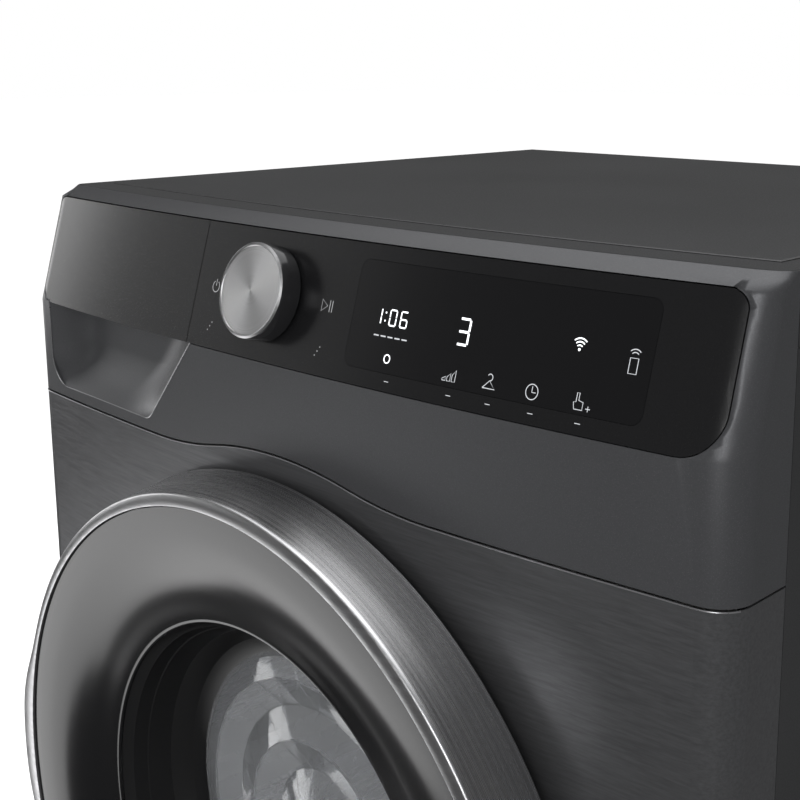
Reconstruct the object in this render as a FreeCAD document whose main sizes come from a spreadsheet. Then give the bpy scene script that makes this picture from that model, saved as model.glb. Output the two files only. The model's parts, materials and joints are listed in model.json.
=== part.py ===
"""A free-standing front-loading heat-pump clothes dryer, 600 wide and 850 high.

Frame: millimetres, +Z up, the front faces -Y, +X is to the right of a person who faces the
dryer. The origin is on the floor under the middle of the bounding box.
The cabinet's front is bowed in plan, and its top part leans back where the control panel sits.
"""
import FreeCAD, Part
import math
import os

import Sketcher
from FreeCAD import Placement, Rotation, Vector

doc = FreeCAD.newDocument("clothes_dryer")
sheet = doc.addObject("Spreadsheet::Sheet", "dims")

# name: millimetres (or degrees for an angle)
DRIVING = {
    "cab_width": 600.0,
    "cab_height": 850.0,
    "front_plane": -278.0,
    "rear_plane": 300.0,
    "side_seam": -217.0,
    "corner_end": -246.0,
    "skirt_height": 35.0,
    "cab_bottom": 16.0,
    "steel": 1.0,
    "plastic": 3.0,
    "seam_gap": 0.6,
    "front_bow": 13.0,
    "corner_start": 282.0,
    "wave_drop": 148.0,
    "wave_rise": 13.0,
    "wave_half": 124.0,
    "panel_top": 7.0,
    "panel_bottom": 81.0,
    "panel_lean": 22.0,
    "top_setback": 36.0,
    "panel_half": 290.0,
    "drawer_edge": 87.0,
    "knob_x": -14.0,
    "knob_drop": 43.0,
    "knob_radius": 28.5,
    "knob_height": 16.0,
    "door_axis": 456.0,
    "ring_front": -323.0,
    "ring_rear": -283.0,
    "ring_radius": 240.0,
    "ring_base": 246.0,
    "door_opening": 202.0,
    "mouth_radius": 162.0,
    "hinge_x": 226.0,
    "hinge_y": -299.0,
    "hinge_spread": 58.0,
    "pin_radius": 3.0,
    "bulkhead_front": -236.0,
    "bulkhead_back": -232.0,
    "drum_axis": 508.0,
    "drum_radius": 278.0,
    "drum_front": -222.0,
    "drum_rear": 272.0,
    "drum_sheet": 1.2,
    "drum_mouth": 238.0,
    "shaft_radius": 8.0,
    "duct_rear": 323.0,
    "duct_radius": 232.0,
    "tank_left": -270.0,
    "tank_right": -112.0,
    "tank_front_face": -226.0,
    "tank_back": 200.0,
    "tank_bottom": 774.0,
    "tank_top": 836.0,
    "tray_height": 60.0,
    "tray_bottom": 12.5,
    "foot_x": 268.0,
    "foot_front": -212.0,
    "foot_rear": 270.0,
    "foot_radius": 20.0,
    "screw_radius": 5.0,
    "motor_x": 185.0,
    "motor_z": 112.0,
    "motor_radius": 60.0,
    "motor_shaft": 6.0,
    "pulley_radius": 12.0,
    "belt_middle": 150.0,
    "belt_width": 14.0,
    "idler_x": 78.0,
    "idler_z": 150.0,
    "idler_radius": 18.0,
    "pivot_x": 110.0,
    "pivot_z": 70.0,
    "roller_radius": 25.0,
    "roller_angle": 35.0,
    "flap_left": -253.0,
    "flap_right": -105.0,
    "flap_bottom": 72.0,
    "flap_top": 188.0,
    "air_gap": 0.3,
    "fit_gap": 0.05,
}
for row, (alias, number) in enumerate(DRIVING.items(), 1):
    sheet.set("A%d" % row, alias)
    sheet.set("B%d" % row, str(number))
    sheet.setAlias("B%d" % row, alias)
doc.recompute()


class Size:
    """A size that keeps both its value and the sheet expression that gives it."""

    def __init__(self, value, text):
        self.value = value
        self.text = text

    @staticmethod
    def of(number):
        if isinstance(number, Size):
            return number
        return Size(float(number), "(%r)" % float(number))

    def __add__(self, other):
        other = Size.of(other)
        return Size(self.value + other.value, "(%s + %s)" % (self.text, other.text))

    def __sub__(self, other):
        other = Size.of(other)
        return Size(self.value - other.value, "(%s - %s)" % (self.text, other.text))

    def __mul__(self, other):
        other = Size.of(other)
        return Size(self.value * other.value, "(%s * %s)" % (self.text, other.text))

    def __truediv__(self, other):
        other = Size.of(other)
        return Size(self.value / other.value, "(%s / %s)" % (self.text, other.text))

    def __radd__(self, other):
        return Size.of(other) + self

    def __rsub__(self, other):
        return Size.of(other) - self

    def __rmul__(self, other):
        return Size.of(other) * self

    def __neg__(self):
        return Size.of(-1) * self


class Sheet:
    """The spreadsheet's cells as sizes: d.cab_width and so on."""

    def __getattr__(self, alias):
        return Size(float(sheet.get(alias)), "dims." + alias)


d = Sheet()
TURN = {
    "x": Rotation(Vector(0, 1, 0), 90),
    "y": Rotation(Vector(1, 0, 0), -90),
    "z": Rotation(),
}
UP = Vector(0, 0, 1)
BACK = Vector(0, 1, 0)
nodes = []


def node(name, item):
    """Marks an object as a finished sub-part: its label names its file."""
    item.Label = name
    nodes.append(item)
    return item


def bind(item, prop, size):
    """Sets a property from a size, and ties it to the sheet where the size comes from there."""
    size = Size.of(size)
    if "dims." in size.text:
        item.setExpression(prop, size.text)
    elif prop.startswith("Placement.Base."):
        setattr(item.Placement.Base, prop[-1], size.value)
    else:
        setattr(item, prop, size.value)


def put(item, x, y, z, turn=None):
    """Places an object by three sizes, with an optional turn."""
    x, y, z = Size.of(x), Size.of(y), Size.of(z)
    item.Placement = Placement(Vector(x.value, y.value, z.value), turn or Rotation())
    for axis, size in (("x", x), ("y", y), ("z", z)):
        if "dims." in size.text:
            item.setExpression("Placement.Base." + axis, size.text)


def box(name, x0, x1, y0, y1, z0, z1):
    """A box between two corners."""
    item = doc.addObject("Part::Box", name)
    bind(item, "Length", Size.of(x1) - x0)
    bind(item, "Width", Size.of(y1) - y0)
    bind(item, "Height", Size.of(z1) - z0)
    put(item, x0, y0, z0)
    return item


def rod(name, axis, radius, start, end, u, v):
    """A cylinder along one axis from start to end; u and v are its other two coordinates in order."""
    item = doc.addObject("Part::Cylinder", name)
    bind(item, "Radius", radius)
    bind(item, "Height", Size.of(end) - start)
    place = {"x": (start, u, v), "y": (u, start, v), "z": (u, v, start)}[axis]
    put(item, *place, turn=TURN[axis])
    return item


def cut(name, base, *tools):
    item = doc.addObject("Part::Cut", name)
    item.Base = base
    item.Tool = tools[0] if len(tools) == 1 else fuse(name + "_tools", *tools)
    return item


def fuse(name, *shapes):
    item = doc.addObject("Part::MultiFuse", name)
    item.Shapes = list(shapes)
    return item


def common(name, *shapes):
    item = doc.addObject("Part::MultiCommon", name)
    item.Shapes = list(shapes)
    return item


def group(name, *shapes):
    """Separate solids kept in one object."""
    item = doc.addObject("Part::Compound", name)
    item.Links = list(shapes)
    return item


def feature(name, shape, where=None):
    """An object whose shape comes from Part's own functions."""
    item = doc.addObject("Part::Feature", name)
    item.Shape = shape
    item.Placement = where or Placement()
    return item


def polygon(sketch, points):
    """A closed outline in a sketch, each corner held by two sizes from the sketch's origin."""
    count = len(points)
    first = sketch.GeometryCount
    corners = [Vector(Size.of(u).value, Size.of(v).value, 0) for u, v in points]
    for i in range(count):
        sketch.addGeometry(Part.LineSegment(corners[i], corners[(i + 1) % count]), False)
    for i in range(count):
        following = first + (i + 1) % count
        sketch.addConstraint(Sketcher.Constraint("Coincident", first + i, 2, following, 1))
    for i, (u, v) in enumerate(points):
        for kind, size, axis in (("DistanceX", u, -2), ("DistanceY", v, -1)):
            size = Size.of(size)
            if abs(size.value) < 1e-9:
                sketch.addConstraint(Sketcher.Constraint("PointOnObject", first + i, 1, axis))
                continue
            at = sketch.addConstraint(Sketcher.Constraint(kind, -1, 1, first + i, 1, size.value))
            if "dims." in size.text:
                sketch.setExpression("Constraints[%d]" % at, size.text)


def plane_of(body, role):
    return next(f for f in body.Origin.OriginFeatures if f.Role == role)


def lathe(name, profile, x, y, z, upright=False):
    """A body turned about a line: the profile gives (radius, distance along the line).

    The line runs along +Y through (x, z), or along +Z through (x, y) when upright."""
    body = doc.addObject("PartDesign::Body", name)
    sketch = body.newObject("Sketcher::SketchObject", name + "_profile")
    sketch.AttachmentSupport = [(plane_of(body, "XY_Plane"), "")]
    sketch.MapMode = "FlatFace"
    polygon(sketch, profile)
    turned = body.newObject("PartDesign::Revolution", name + "_turned")
    turned.Profile = sketch
    turned.ReferenceAxis = (sketch, ["V_Axis"])
    turned.Angle = 360
    body.Tip = turned
    put(body, x, y, z, Rotation(Vector(1, 0, 0), 90) if upright else None)
    return body


def plate(name, outline, y0, y1):
    """A body padded along Y between y0 and y1 from an outline of (x, z) corners."""
    body = doc.addObject("PartDesign::Body", name)
    sketch = body.newObject("Sketcher::SketchObject", name + "_outline")
    sketch.AttachmentSupport = [(plane_of(body, "XZ_Plane"), "")]
    sketch.MapMode = "FlatFace"
    polygon(sketch, outline)
    pad = body.newObject("PartDesign::Pad", name + "_pad")
    pad.Profile = sketch
    bind(pad, "Length", Size.of(y1) - y0)
    body.Tip = pad
    put(body, 0, y1, 0)
    return body


def spread(name, make, places):
    """Copies of one piece, made by a function, at several places."""
    return [make("%s_%d" % (name, i), *place) for i, place in enumerate(places)]


# ---------------------------------------------------------------- the bowed front, in plan

HALF = d.cab_width.value / 2
TOP = d.cab_height.value
FRONT = d.front_plane.value
SEAM = d.side_seam.value
BOW = d.front_bow.value
CORNER = d.corner_start.value
LEAN = d.panel_lean.value
GAP = d.seam_gap.value
PANEL_LOW = TOP - d.panel_bottom.value
PANEL_HIGH = TOP - d.panel_top.value
EDGE = 3.0  # the top front edge rounds off over this last height
EDGE_SETBACK = 31.0
RIM = 1.2  # the fascia's flat top rim beside the lid
ROUND = 0.5523  # how far a quarter round's handles reach along its tangents


def plan_wire(level, setback, inset, back):
    """The cabinet's outline in plan: a shallow bow, two smooth corners and a straight back."""
    front = FRONT + setback + inset
    half = HALF - inset
    end = d.corner_end.value + 0.8 * setback
    wide = (half - CORNER) * ROUND
    deep = (end - (front + BOW)) * ROUND
    slope = 2 * BOW * CORNER / (CORNER ** 2 + BOW ** 2)
    right = [
        Vector(CORNER, front + BOW, level),
        Vector(CORNER + wide, front + BOW + wide * slope, level),
        Vector(half, end - deep, level),
        Vector(half, end, level),
    ]
    left = [Vector(-p.x, p.y, p.z) for p in right]
    rear = [Vector(half, back, level), Vector(-half, back, level)]
    corners = [Part.BezierCurve(), Part.BezierCurve()]
    corners[0].setPoles(right)
    corners[1].setPoles(left[::-1])
    return Part.Wire([
        Part.Arc(left[0], Vector(0, front, level), right[0]).toShape(),
        corners[0].toShape(),
        Part.makeLine(right[3], rear[0]),
        Part.makeLine(rear[0], rear[1]),
        Part.makeLine(rear[1], left[3]),
        corners[1].toShape(),
    ])


def front_block(inset, back, low, high=None):
    """The solid behind the cabinet's front surface, moved in by an inset, with its leaning top."""
    top = TOP - inset if high is None else high
    levels = [(low, 0.0), (PANEL_LOW, 0.0), (PANEL_HIGH, LEAN), (TOP - EDGE, EDGE_SETBACK)]
    levels = [(level, setback) for level, setback in levels if level < top]
    if inset == 0 and high is None:
        levels.append((top, d.top_setback.value))
    elif high is None:
        levels.append((top, EDGE_SETBACK))
    else:
        levels.append((high, levels[-1][1]))
    wires = [plan_wire(level, setback, inset, back) for level, setback in levels]
    return Part.makeLoft(wires, True, True)


def front_skin(depth, thick, low=600.0):
    """A skin that follows the front surface, from one depth behind it to another."""
    outer = front_block(depth, SEAM + 0.0, low)
    inner = front_block(depth + thick, SEAM + 2.0, low - 1.0)
    return outer.cut(inner)


def rounded_outline(x0, x1, z0, z1, low_radius, high_radius):
    """A rectangle in the XZ plane whose lower and upper corners are rounded."""
    y = -400.0
    corners = [
        (x0, z0, 1, 1, low_radius),
        (x1, z0, -1, 1, low_radius),
        (x1, z1, -1, -1, high_radius),
        (x0, z1, 1, -1, high_radius),
    ]
    slant = 1 - math.sqrt(0.5)
    edges = []
    ends = []
    for i, (x, z, sx, sz, radius) in enumerate(corners):
        along_x = Vector(x + sx * radius, y, z)
        along_z = Vector(x, y, z + sz * radius)
        middle = Vector(x + sx * radius * slant, y, z + sz * radius * slant)
        first, last = (along_z, along_x) if i % 2 == 0 else (along_x, along_z)
        edges.append(Part.Arc(first, middle, last).toShape())
        ends.append((first, last))
    joined = []
    for i in range(4):
        joined.append(edges[i])
        joined.append(Part.makeLine(ends[i][1], ends[(i + 1) % 4][0]))
    return Part.Face(Part.Wire(joined))


def window(x0, x1, z0, z1, low_radius, high_radius):
    """A rounded rectangle pushed through the front of the cabinet."""
    return rounded_outline(x0, x1, z0, z1, low_radius, high_radius).extrude(BACK * 200)


def wave_region(base, ceiling):
    """Everything above the wavy seam: level at both ends, with one crest over the door."""
    y = -400.0
    half = d.wave_half.value
    rise = d.wave_rise.value
    quarter = half / 2
    bend = (quarter ** 2 + (rise / 2) ** 2) / rise
    sag = bend - math.sqrt(bend ** 2 - (quarter / 2) ** 2)
    wide = HALF + 10

    def at(x, z):
        return Vector(x, y, base + z)

    edges = [
        Part.makeLine(at(-wide, 0), at(-half, 0)),
        Part.Arc(at(-half, 0), at(-half + quarter / 2, sag), at(-quarter, rise / 2)).toShape(),
        Part.Arc(at(-quarter, rise / 2), at(0, rise), at(quarter, rise / 2)).toShape(),
        Part.Arc(at(quarter, rise / 2), at(half - quarter / 2, sag), at(half, 0)).toShape(),
        Part.makeLine(at(half, 0), at(wide, 0)),
        Part.makeLine(at(wide, 0), Vector(wide, y, ceiling)),
        Part.makeLine(Vector(wide, y, ceiling), Vector(-wide, y, ceiling)),
        Part.makeLine(Vector(-wide, y, ceiling), at(-wide, 0)),
    ]
    return Part.Face(Part.Wire(edges)).extrude(BACK * 800)


# ---------------------------------------------------------------- cabinet


def base_tray():
    """The plastic floor of the machine: a walled tray with a narrower nose and four foot bosses."""
    wall = d.plastic
    side = d.cab_width / 2 - 3
    nose = d.cab_width / 2 - 16
    low, high = d.tray_bottom, d.tray_height
    floor = d.tray_bottom + wall
    body = fuse(
        "tray_outer",
        box("tray_main", -side, side, d.side_seam + 3, d.rear_plane - 3, low, high),
        box("tray_nose", -nose, nose, d.front_plane + 38, d.side_seam + 10, low, high),
    )
    hollow = fuse(
        "tray_hollow",
        box("tray_room", wall - side, side - wall, d.side_seam + 3 + wall,
            d.rear_plane - 3 - wall, floor, high + 5),
        box("tray_nose_room", wall - nose, nose - wall, d.front_plane + 38 + wall,
            d.side_seam + 12, floor, high + 5),
    )
    shell = cut("tray_shell", body, hollow)
    places = [(x, y) for x in (-d.foot_x, d.foot_x) for y in (d.foot_front, d.foot_rear)]
    bosses = spread("tray_boss", lambda n, x, y: rod(n, "z", 11, low, 48, x, y), places)
    holes = spread(
        "tray_hole",
        lambda n, x, y: rod(n, "z", d.screw_radius + d.fit_gap, 10, 50, x, y),
        places,
    )
    node("base_tray", cut("tray", fuse("tray_with_bosses", shell, *bosses), *holes))


def side_panel(name, sign):
    """A steel side wall with a folded flange at its front and rear."""
    outer = sign * (d.cab_width / 2)
    inner = sign * (d.cab_width / 2 - d.steel)
    fold = sign * (d.cab_width / 2 - 11)
    low, high = d.cab_bottom + 6, d.cab_height - d.skirt_height - 0.5
    front, back = d.side_seam + 0.5, d.rear_plane - 0.2

    def between(n, a, b, y0, y1):
        a, b = (a, b) if a.value < b.value else (b, a)
        return box(n, a, b, y0, y1, low, high)

    node(name, fuse(
        name + "_folded",
        between(name + "_wall", inner, outer, front, back),
        between(name + "_front_fold", fold, inner, front, front + d.steel),
        between(name + "_rear_fold", fold, inner, back - 1 - d.steel, back - 1),
    ))


def rear_panel():
    """The steel back wall, with a ring of air holes behind the drum and three service holes."""
    wall = box("rear_sheet", 2.5 - d.cab_width / 2, d.cab_width / 2 - 2.5,
               d.rear_plane - d.steel, d.rear_plane, d.cab_bottom + 6, d.cab_height - 4)
    holes = []
    for i in range(8):
        turn = math.radians(45.0 * i + 22.5)
        holes.append(rod("air_hole_%d" % i, "y", 32, d.rear_plane - 10, d.rear_plane + 10,
                         150 * math.cos(turn), d.drum_axis + 150 * math.sin(turn)))
    holes.append(rod("inlet_hole", "y", 8, d.rear_plane - 10, d.rear_plane + 10, -250, 785))
    holes.append(rod("spigot_hole", "y", 6, d.rear_plane - 10, d.rear_plane + 10, 250, 785))
    node("rear_panel", cut("rear_wall", wall, *holes))


def rear_duct_cover():
    """The stamped dish that leads warm air from the base up to the back of the drum."""
    back, radius, flange = d.duct_rear, d.duct_radius, d.rear_plane + 0.2
    node("rear_duct_cover", lathe("duct_dish", [
        (0, back - 1.5), (0, back), (radius - 10, back), (radius, flange + 1.5),
        (radius + 10, flange + 1.5), (radius + 10, flange), (radius - 1.2, flange),
        (radius - 11.2, back - 1.5),
    ], 0, 0, d.drum_axis))


def top_cover():
    """The lid: a sheet that meets the fascia along a bowed seam, with skirts on three sides."""
    top, low = TOP, TOP - d.skirt_height.value
    back = d.rear_plane.value + 2.3
    seam = plan_wire(top - 2.5, d.top_setback.value, RIM + GAP, SEAM + 3)
    sheet_part = Part.Face(seam).extrude(UP * 2.5)
    parts = [
        Part.makeBox(2 * HALF, back - SEAM - GAP, 2.5, Vector(-HALF, SEAM + GAP, top - 2.5)),
    ]
    parts += [
        Part.makeBox(2, back - SEAM - GAP, top - low, Vector(side, SEAM + GAP, low))
        for side in (-HALF, HALF - 2)
    ]
    parts.append(Part.makeBox(2 * HALF, 2, top - low, Vector(-HALF, back - 2, low)))
    node("top_cover", feature("lid", sheet_part.multiFuse(parts).removeSplitter()))


def front_panel():
    """The steel front: round door opening, flap opening, wavy top edge and two flap sockets."""
    low = d.cab_bottom.value
    outer = Part.Face(plan_wire(low, 0.0, 0.0, SEAM)).extrude(UP * (TOP - low))
    inner = Part.Face(plan_wire(low - 1, 0.0, d.steel.value, SEAM + 2)).extrude(UP * TOP)
    above = wave_region(TOP - d.wave_drop.value - 2 * GAP, TOP + 5)
    door_hole = Part.makeCylinder(
        d.door_opening.value, 100, Vector(0, -300, d.door_axis.value), BACK)
    flap_hole = window(d.flap_left.value - 1.5, d.flap_right.value + 3.5,
                       d.flap_bottom.value - 1.2, d.flap_top.value + 1.2, 9.0, 9.0)
    skin = outer.cut(inner).cut(above).cut(door_hole).cut(flap_hole)
    pin = Vector(d.flap_right.value - 1.5, FRONT + 5.5, 0)
    sockets = []
    for z in (d.flap_bottom.value - 5.0, d.flap_top.value + 1.4):
        block = Part.makeBox(7.3, 5.7, 3.6, Vector(pin.x - 4, FRONT + 2.8, z))
        sockets.append(block.cut(Part.makeCylinder(1.3, 10, Vector(pin.x, pin.y, z - 3))))
    node("front_panel", feature("front_sheet", skin.multiFuse(sockets)))


def fascia():
    """The moulded control frame: it wraps both corners, holds the panel and the grip recess."""
    low = TOP - d.wave_drop.value - d.wave_rise.value
    solid = front_block(0.0, SEAM, low)
    hollow = front_block(d.plastic.value, SEAM + 2, low - 1)
    lid_room = plan_wire(TOP - 6, d.top_setback.value, RIM, SEAM + 2)
    under_lid = Part.Face(lid_room).extrude(UP * 10)
    panel_hole = window(-d.panel_half.value - GAP, d.panel_half.value + GAP,
                        PANEL_LOW - GAP, PANEL_HIGH + GAP, 22.0, 10.0)
    edge = -d.drawer_edge.value
    block = Part.makeBox(edge + 309, 50, 58, Vector(-284, -290, PANEL_LOW - 54)).common(solid)

    def scoop_wire(y, left, right, foot, low_z, high_z):
        return Part.makePolygon([
            Vector(left, y, low_z), Vector(foot, y, low_z), Vector(right, y, high_z),
            Vector(left, y, high_z), Vector(left, y, low_z)])

    scoop = Part.makeLoft([
        scoop_wire(-300, -278, edge + 14, edge - 24, PANEL_LOW - 49, PANEL_LOW + 8),
        scoop_wire(-246, -266, edge - 6, edge - 44, PANEL_LOW - 34, PANEL_LOW + 8),
    ], True, True)
    shell = solid.cut(hollow).cut(under_lid).fuse(block).cut(panel_hole).cut(scoop)
    region = wave_region(TOP - d.wave_drop.value, TOP + 5)
    node("fascia", feature("fascia_shell", shell.common(region)))


def control_panel():
    """The gloss panel to the right of the drawer, with a knob hole and a shallow display seat."""
    outline = window(-d.drawer_edge.value, d.panel_half.value, PANEL_LOW, PANEL_HIGH, 21.0, 9.5)
    square_left = Part.makeBox(40, 200, PANEL_HIGH - PANEL_LOW,
                               Vector(-d.drawer_edge.value, -400, PANEL_LOW))
    skin = front_skin(0.0, d.plastic.value).common(outline.fuse(square_left))
    hole = knob_rod(4.0, -20.0, 20.0)
    seat = front_skin(0.0, 1.0).common(window(*DISPLAY, 6.0, 6.0))
    node("control_panel", feature("panel_skin", skin.cut(hole).cut(seat)))
    glass = front_skin(0.0, 1.0 - 0.05).common(
        window(DISPLAY[0] + 0.2, DISPLAY[1] - 0.2, DISPLAY[2] + 0.2, DISPLAY[3] - 0.2, 5.8, 5.8))
    node("display_window", feature("display_glass", glass))


def control_board():
    """The circuit board in its tray, upright behind the panel, above the drum's front wall."""
    carrier = box("board_tray", 62, 248, -238, -226, 794, 830)
    pocket = box("board_pocket", 65, 245, -239, -230, 797, 827)
    board = box("board", 66, 244, -236, -234, 798, 826)
    node("control_board", fuse("board_in_tray", cut("board_cup", carrier, pocket), board,
                               box("board_rib", 150, 160, -235, -227, 797, 827)))


def front_bulkhead():
    """The plastic wall that closes the drum's front: a step, a collar, a mouth and a filter slot."""
    front, back = d.bulkhead_front, d.bulkhead_back
    edge = d.cab_width / 2 - 16
    wall = plate("bulkhead_wall", [
        (-edge, 215), (edge, 215), (edge, 755), (235, 790), (-104, 790), (-104, 752), (-edge, 752),
    ], front, back)
    mouth = rod("mouth", "y", d.mouth_radius, front - 10, back + 10, 0, d.door_axis)
    plunger_hole = rod("plunger_hole", "y", 2.8, front - 10, back + 10, -191, d.door_axis)
    collar = cut(
        "collar",
        rod("collar_outside", "y", d.door_opening + 4, -262, front, 0, d.door_axis),
        rod("collar_inside", "y", d.door_opening + 1, -264, front + 1, 0, d.door_axis),
        box("filter_slot", -101, 101, -258.5, -241.5, 200, 290),
    )
    node("front_bulkhead", fuse("bulkhead", cut("wall", wall, mouth, plunger_hole), collar))
    axles = []
    for name, x, z in roller_places():
        axles.append(rod("axle_" + name, "y", d.screw_radius, back, -198, x, z))
    node("roller_axles", group("axles", *axles))


def mouth_seal():
    """The soft ring that the closed door meets around the mouth."""
    front = d.bulkhead_front
    node("mouth_seal", lathe("seal_ring", [
        (d.mouth_radius + 2, front - 0.2), (d.mouth_radius + 18, front - 0.2),
        (d.mouth_radius + 18, front - 2.5), (d.mouth_radius + 14, front - 4.1),
        (d.mouth_radius + 5, front - 4.1), (d.mouth_radius + 2, front - 2.5),
    ], 0, 0, d.door_axis))


def drum_felt_rings():
    """Felt rings that close the gap at the drum's two ends."""
    front = lathe("front_felt", [
        (d.drum_mouth + 4, d.bulkhead_back), (d.drum_radius - 6, d.bulkhead_back),
        (d.drum_radius - 6, d.drum_front - d.air_gap), (d.drum_mouth + 4, d.drum_front - d.air_gap),
    ], 0, 0, d.drum_axis)
    rear = lathe("rear_felt", [
        (d.drum_radius - 28, d.drum_rear + d.air_gap), (d.drum_radius - 6, d.drum_rear + d.air_gap),
        (d.drum_radius - 6, d.rear_plane - 1.3), (d.drum_radius - 28, d.rear_plane - 1.3),
    ], 0, 0, d.drum_axis)
    node("drum_felt_rings", group("felts", front, rear))


# ---------------------------------------------------------------- door


def door():
    """The round door: metal ring, gloss cone, glass bowl, rear frame, hinge side and latch hook."""
    axis = d.door_axis
    front, rear, radius = d.ring_front, d.ring_rear, d.ring_radius
    ring = lathe("ring_turned", [
        (radius - 8, front), (radius - 2, front), (radius, front + 4), (d.ring_base, rear),
        (d.ring_base - 3, rear), (radius - 3, front + 5), (radius - 8, front + 3),
    ], 0, 0, axis)
    grip = lathe("grip_turned", [
        (radius - 1, front + 1), (radius + 9, front + 3), (radius + 10, front + 7),
        (radius + 4, front + 12), (radius - 1, front + 14),
    ], 0, 0, axis)
    grip_piece = common("grip_piece", grip,
                        box("grip_zone", -260, -200, -330, -280, axis - 75, axis + 75))
    notches = [box("notch_%d" % i, 205, 250, -309, -270, axis + low, axis + low + 42)
               for i, low in enumerate((37, -79))]
    node("door_ring", cut("ring", fuse("ring_and_grip", ring, grip_piece), *notches))

    porthole = d.mouth_radius - 8
    node("door_cone", lathe("cone_turned", [
        (radius - 9, front + 1.5), (210, -315), (185, -309.5), (porthole, -306),
        (porthole, -303), (185, -306.5), (210, -312), (radius - 9, front + 4.5),
    ], 0, 0, axis))
    node("door_glass", lathe("glass_turned", [
        (144, -302.8), (166, -302.8), (166, -298.8), (148, -298.8), (128, -246),
        (0, -246), (0, -250), (125, -250), (144, -300),
    ], 0, 0, axis))
    frame = lathe("frame_turned", [
        (166, -298.6), (180, -298.6), (180, -286), (radius - 4, -286), (radius - 4, -282),
        (176, -282), (176, -240.4), (166, -240.4),
    ], 0, 0, axis)
    clear = [box("hinge_room_%d" % i, 188, 240, -300, -270, axis + low, axis + low + 40)
             for i, low in enumerate((38, -78))]
    node("door_inner_frame", cut("inner_frame", frame, *clear))
    node("latch_hook", box("hook", -196, -186, -282, -243, axis - 9, axis + 9))

    lugs = []
    for i, sign in enumerate((1, -1)):
        middle = axis + sign * d.hinge_spread
        for j, low in enumerate((8.5, -12.5)):
            lugs.append(box("lug_%d_%d" % (i, j), d.hinge_x - 20, d.hinge_x + 5,
                            d.hinge_y - 5, d.hinge_y + 8, middle + low, middle + low + 4))
    spine = box("hinge_spine", d.hinge_x - 20, d.hinge_x - 16, d.hinge_y - 5, d.hinge_y + 8,
                axis - 72, axis + 72)
    foot = box("hinge_foot", d.hinge_x - 28, d.hinge_x - 16, d.hinge_y + 6, -286,
               axis - 36, axis + 36)
    bores = [rod("lug_bore_%d" % i, "z", d.pin_radius, axis + low, axis + low + 40,
                 d.hinge_x, d.hinge_y) for i, low in enumerate((38, -78))]
    node("door_hinge_mount", cut("mount", fuse("mount_solid", spine, foot, *lugs), *bores))
    pins = [rod("pin_%d" % i, "z", d.pin_radius, axis + sign * d.hinge_spread - 13,
                axis + sign * d.hinge_spread + 13, d.hinge_x, d.hinge_y)
            for i, sign in enumerate((1, -1))]
    node("hinge_pins", group("pins", *pins))

    brackets = []
    for i, sign in enumerate((1, -1)):
        middle = axis + sign * d.hinge_spread
        leaf = box("leaf_%d" % i, 205, 232, -274.5, -271.3, middle - 14, middle + 14)
        arm = box("arm_%d" % i, d.hinge_x - 12, d.hinge_x - 2, d.hinge_y + 2, -273,
                  middle - 8, middle + 8)
        knuckle = rod("knuckle_%d" % i, "z", 7, middle - 8, middle + 8, d.hinge_x, d.hinge_y)
        bore = rod("knuckle_bore_%d" % i, "z", d.pin_radius + d.fit_gap, middle - 9, middle + 9,
                   d.hinge_x, d.hinge_y)
        brackets.append(cut("bracket_%d" % i, fuse("bracket_solid_%d" % i, leaf, arm, knuckle), bore))
    node("hinge_brackets", group("brackets", *brackets))


def door_lock():
    """The catch that the hook slides into, with the door switch and its plunger behind it."""
    axis = d.door_axis
    catch = cut(
        "catch",
        box("catch_block", -199, -185, -254, -236.3, axis - 16, axis + 16),
        box("catch_way", -200, -184, -255, -239.3, axis - 10.5, axis + 10.5),
        rod("catch_hole", "y", 2.8, -245, -230, -191, axis),
    )
    switch = cut(
        "switch",
        box("switch_block", -200, -182, -231.7, -216, axis - 14, axis + 14),
        rod("switch_bore", "y", 2.8, -235, -219, -191, axis),
    )
    node("door_lock", group("lock_pieces", catch, switch))
    node("switch_plunger", rod("plunger", "y", 2.5, -242.7, -222, -191, axis))


# ---------------------------------------------------------------- drum and its drive


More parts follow.
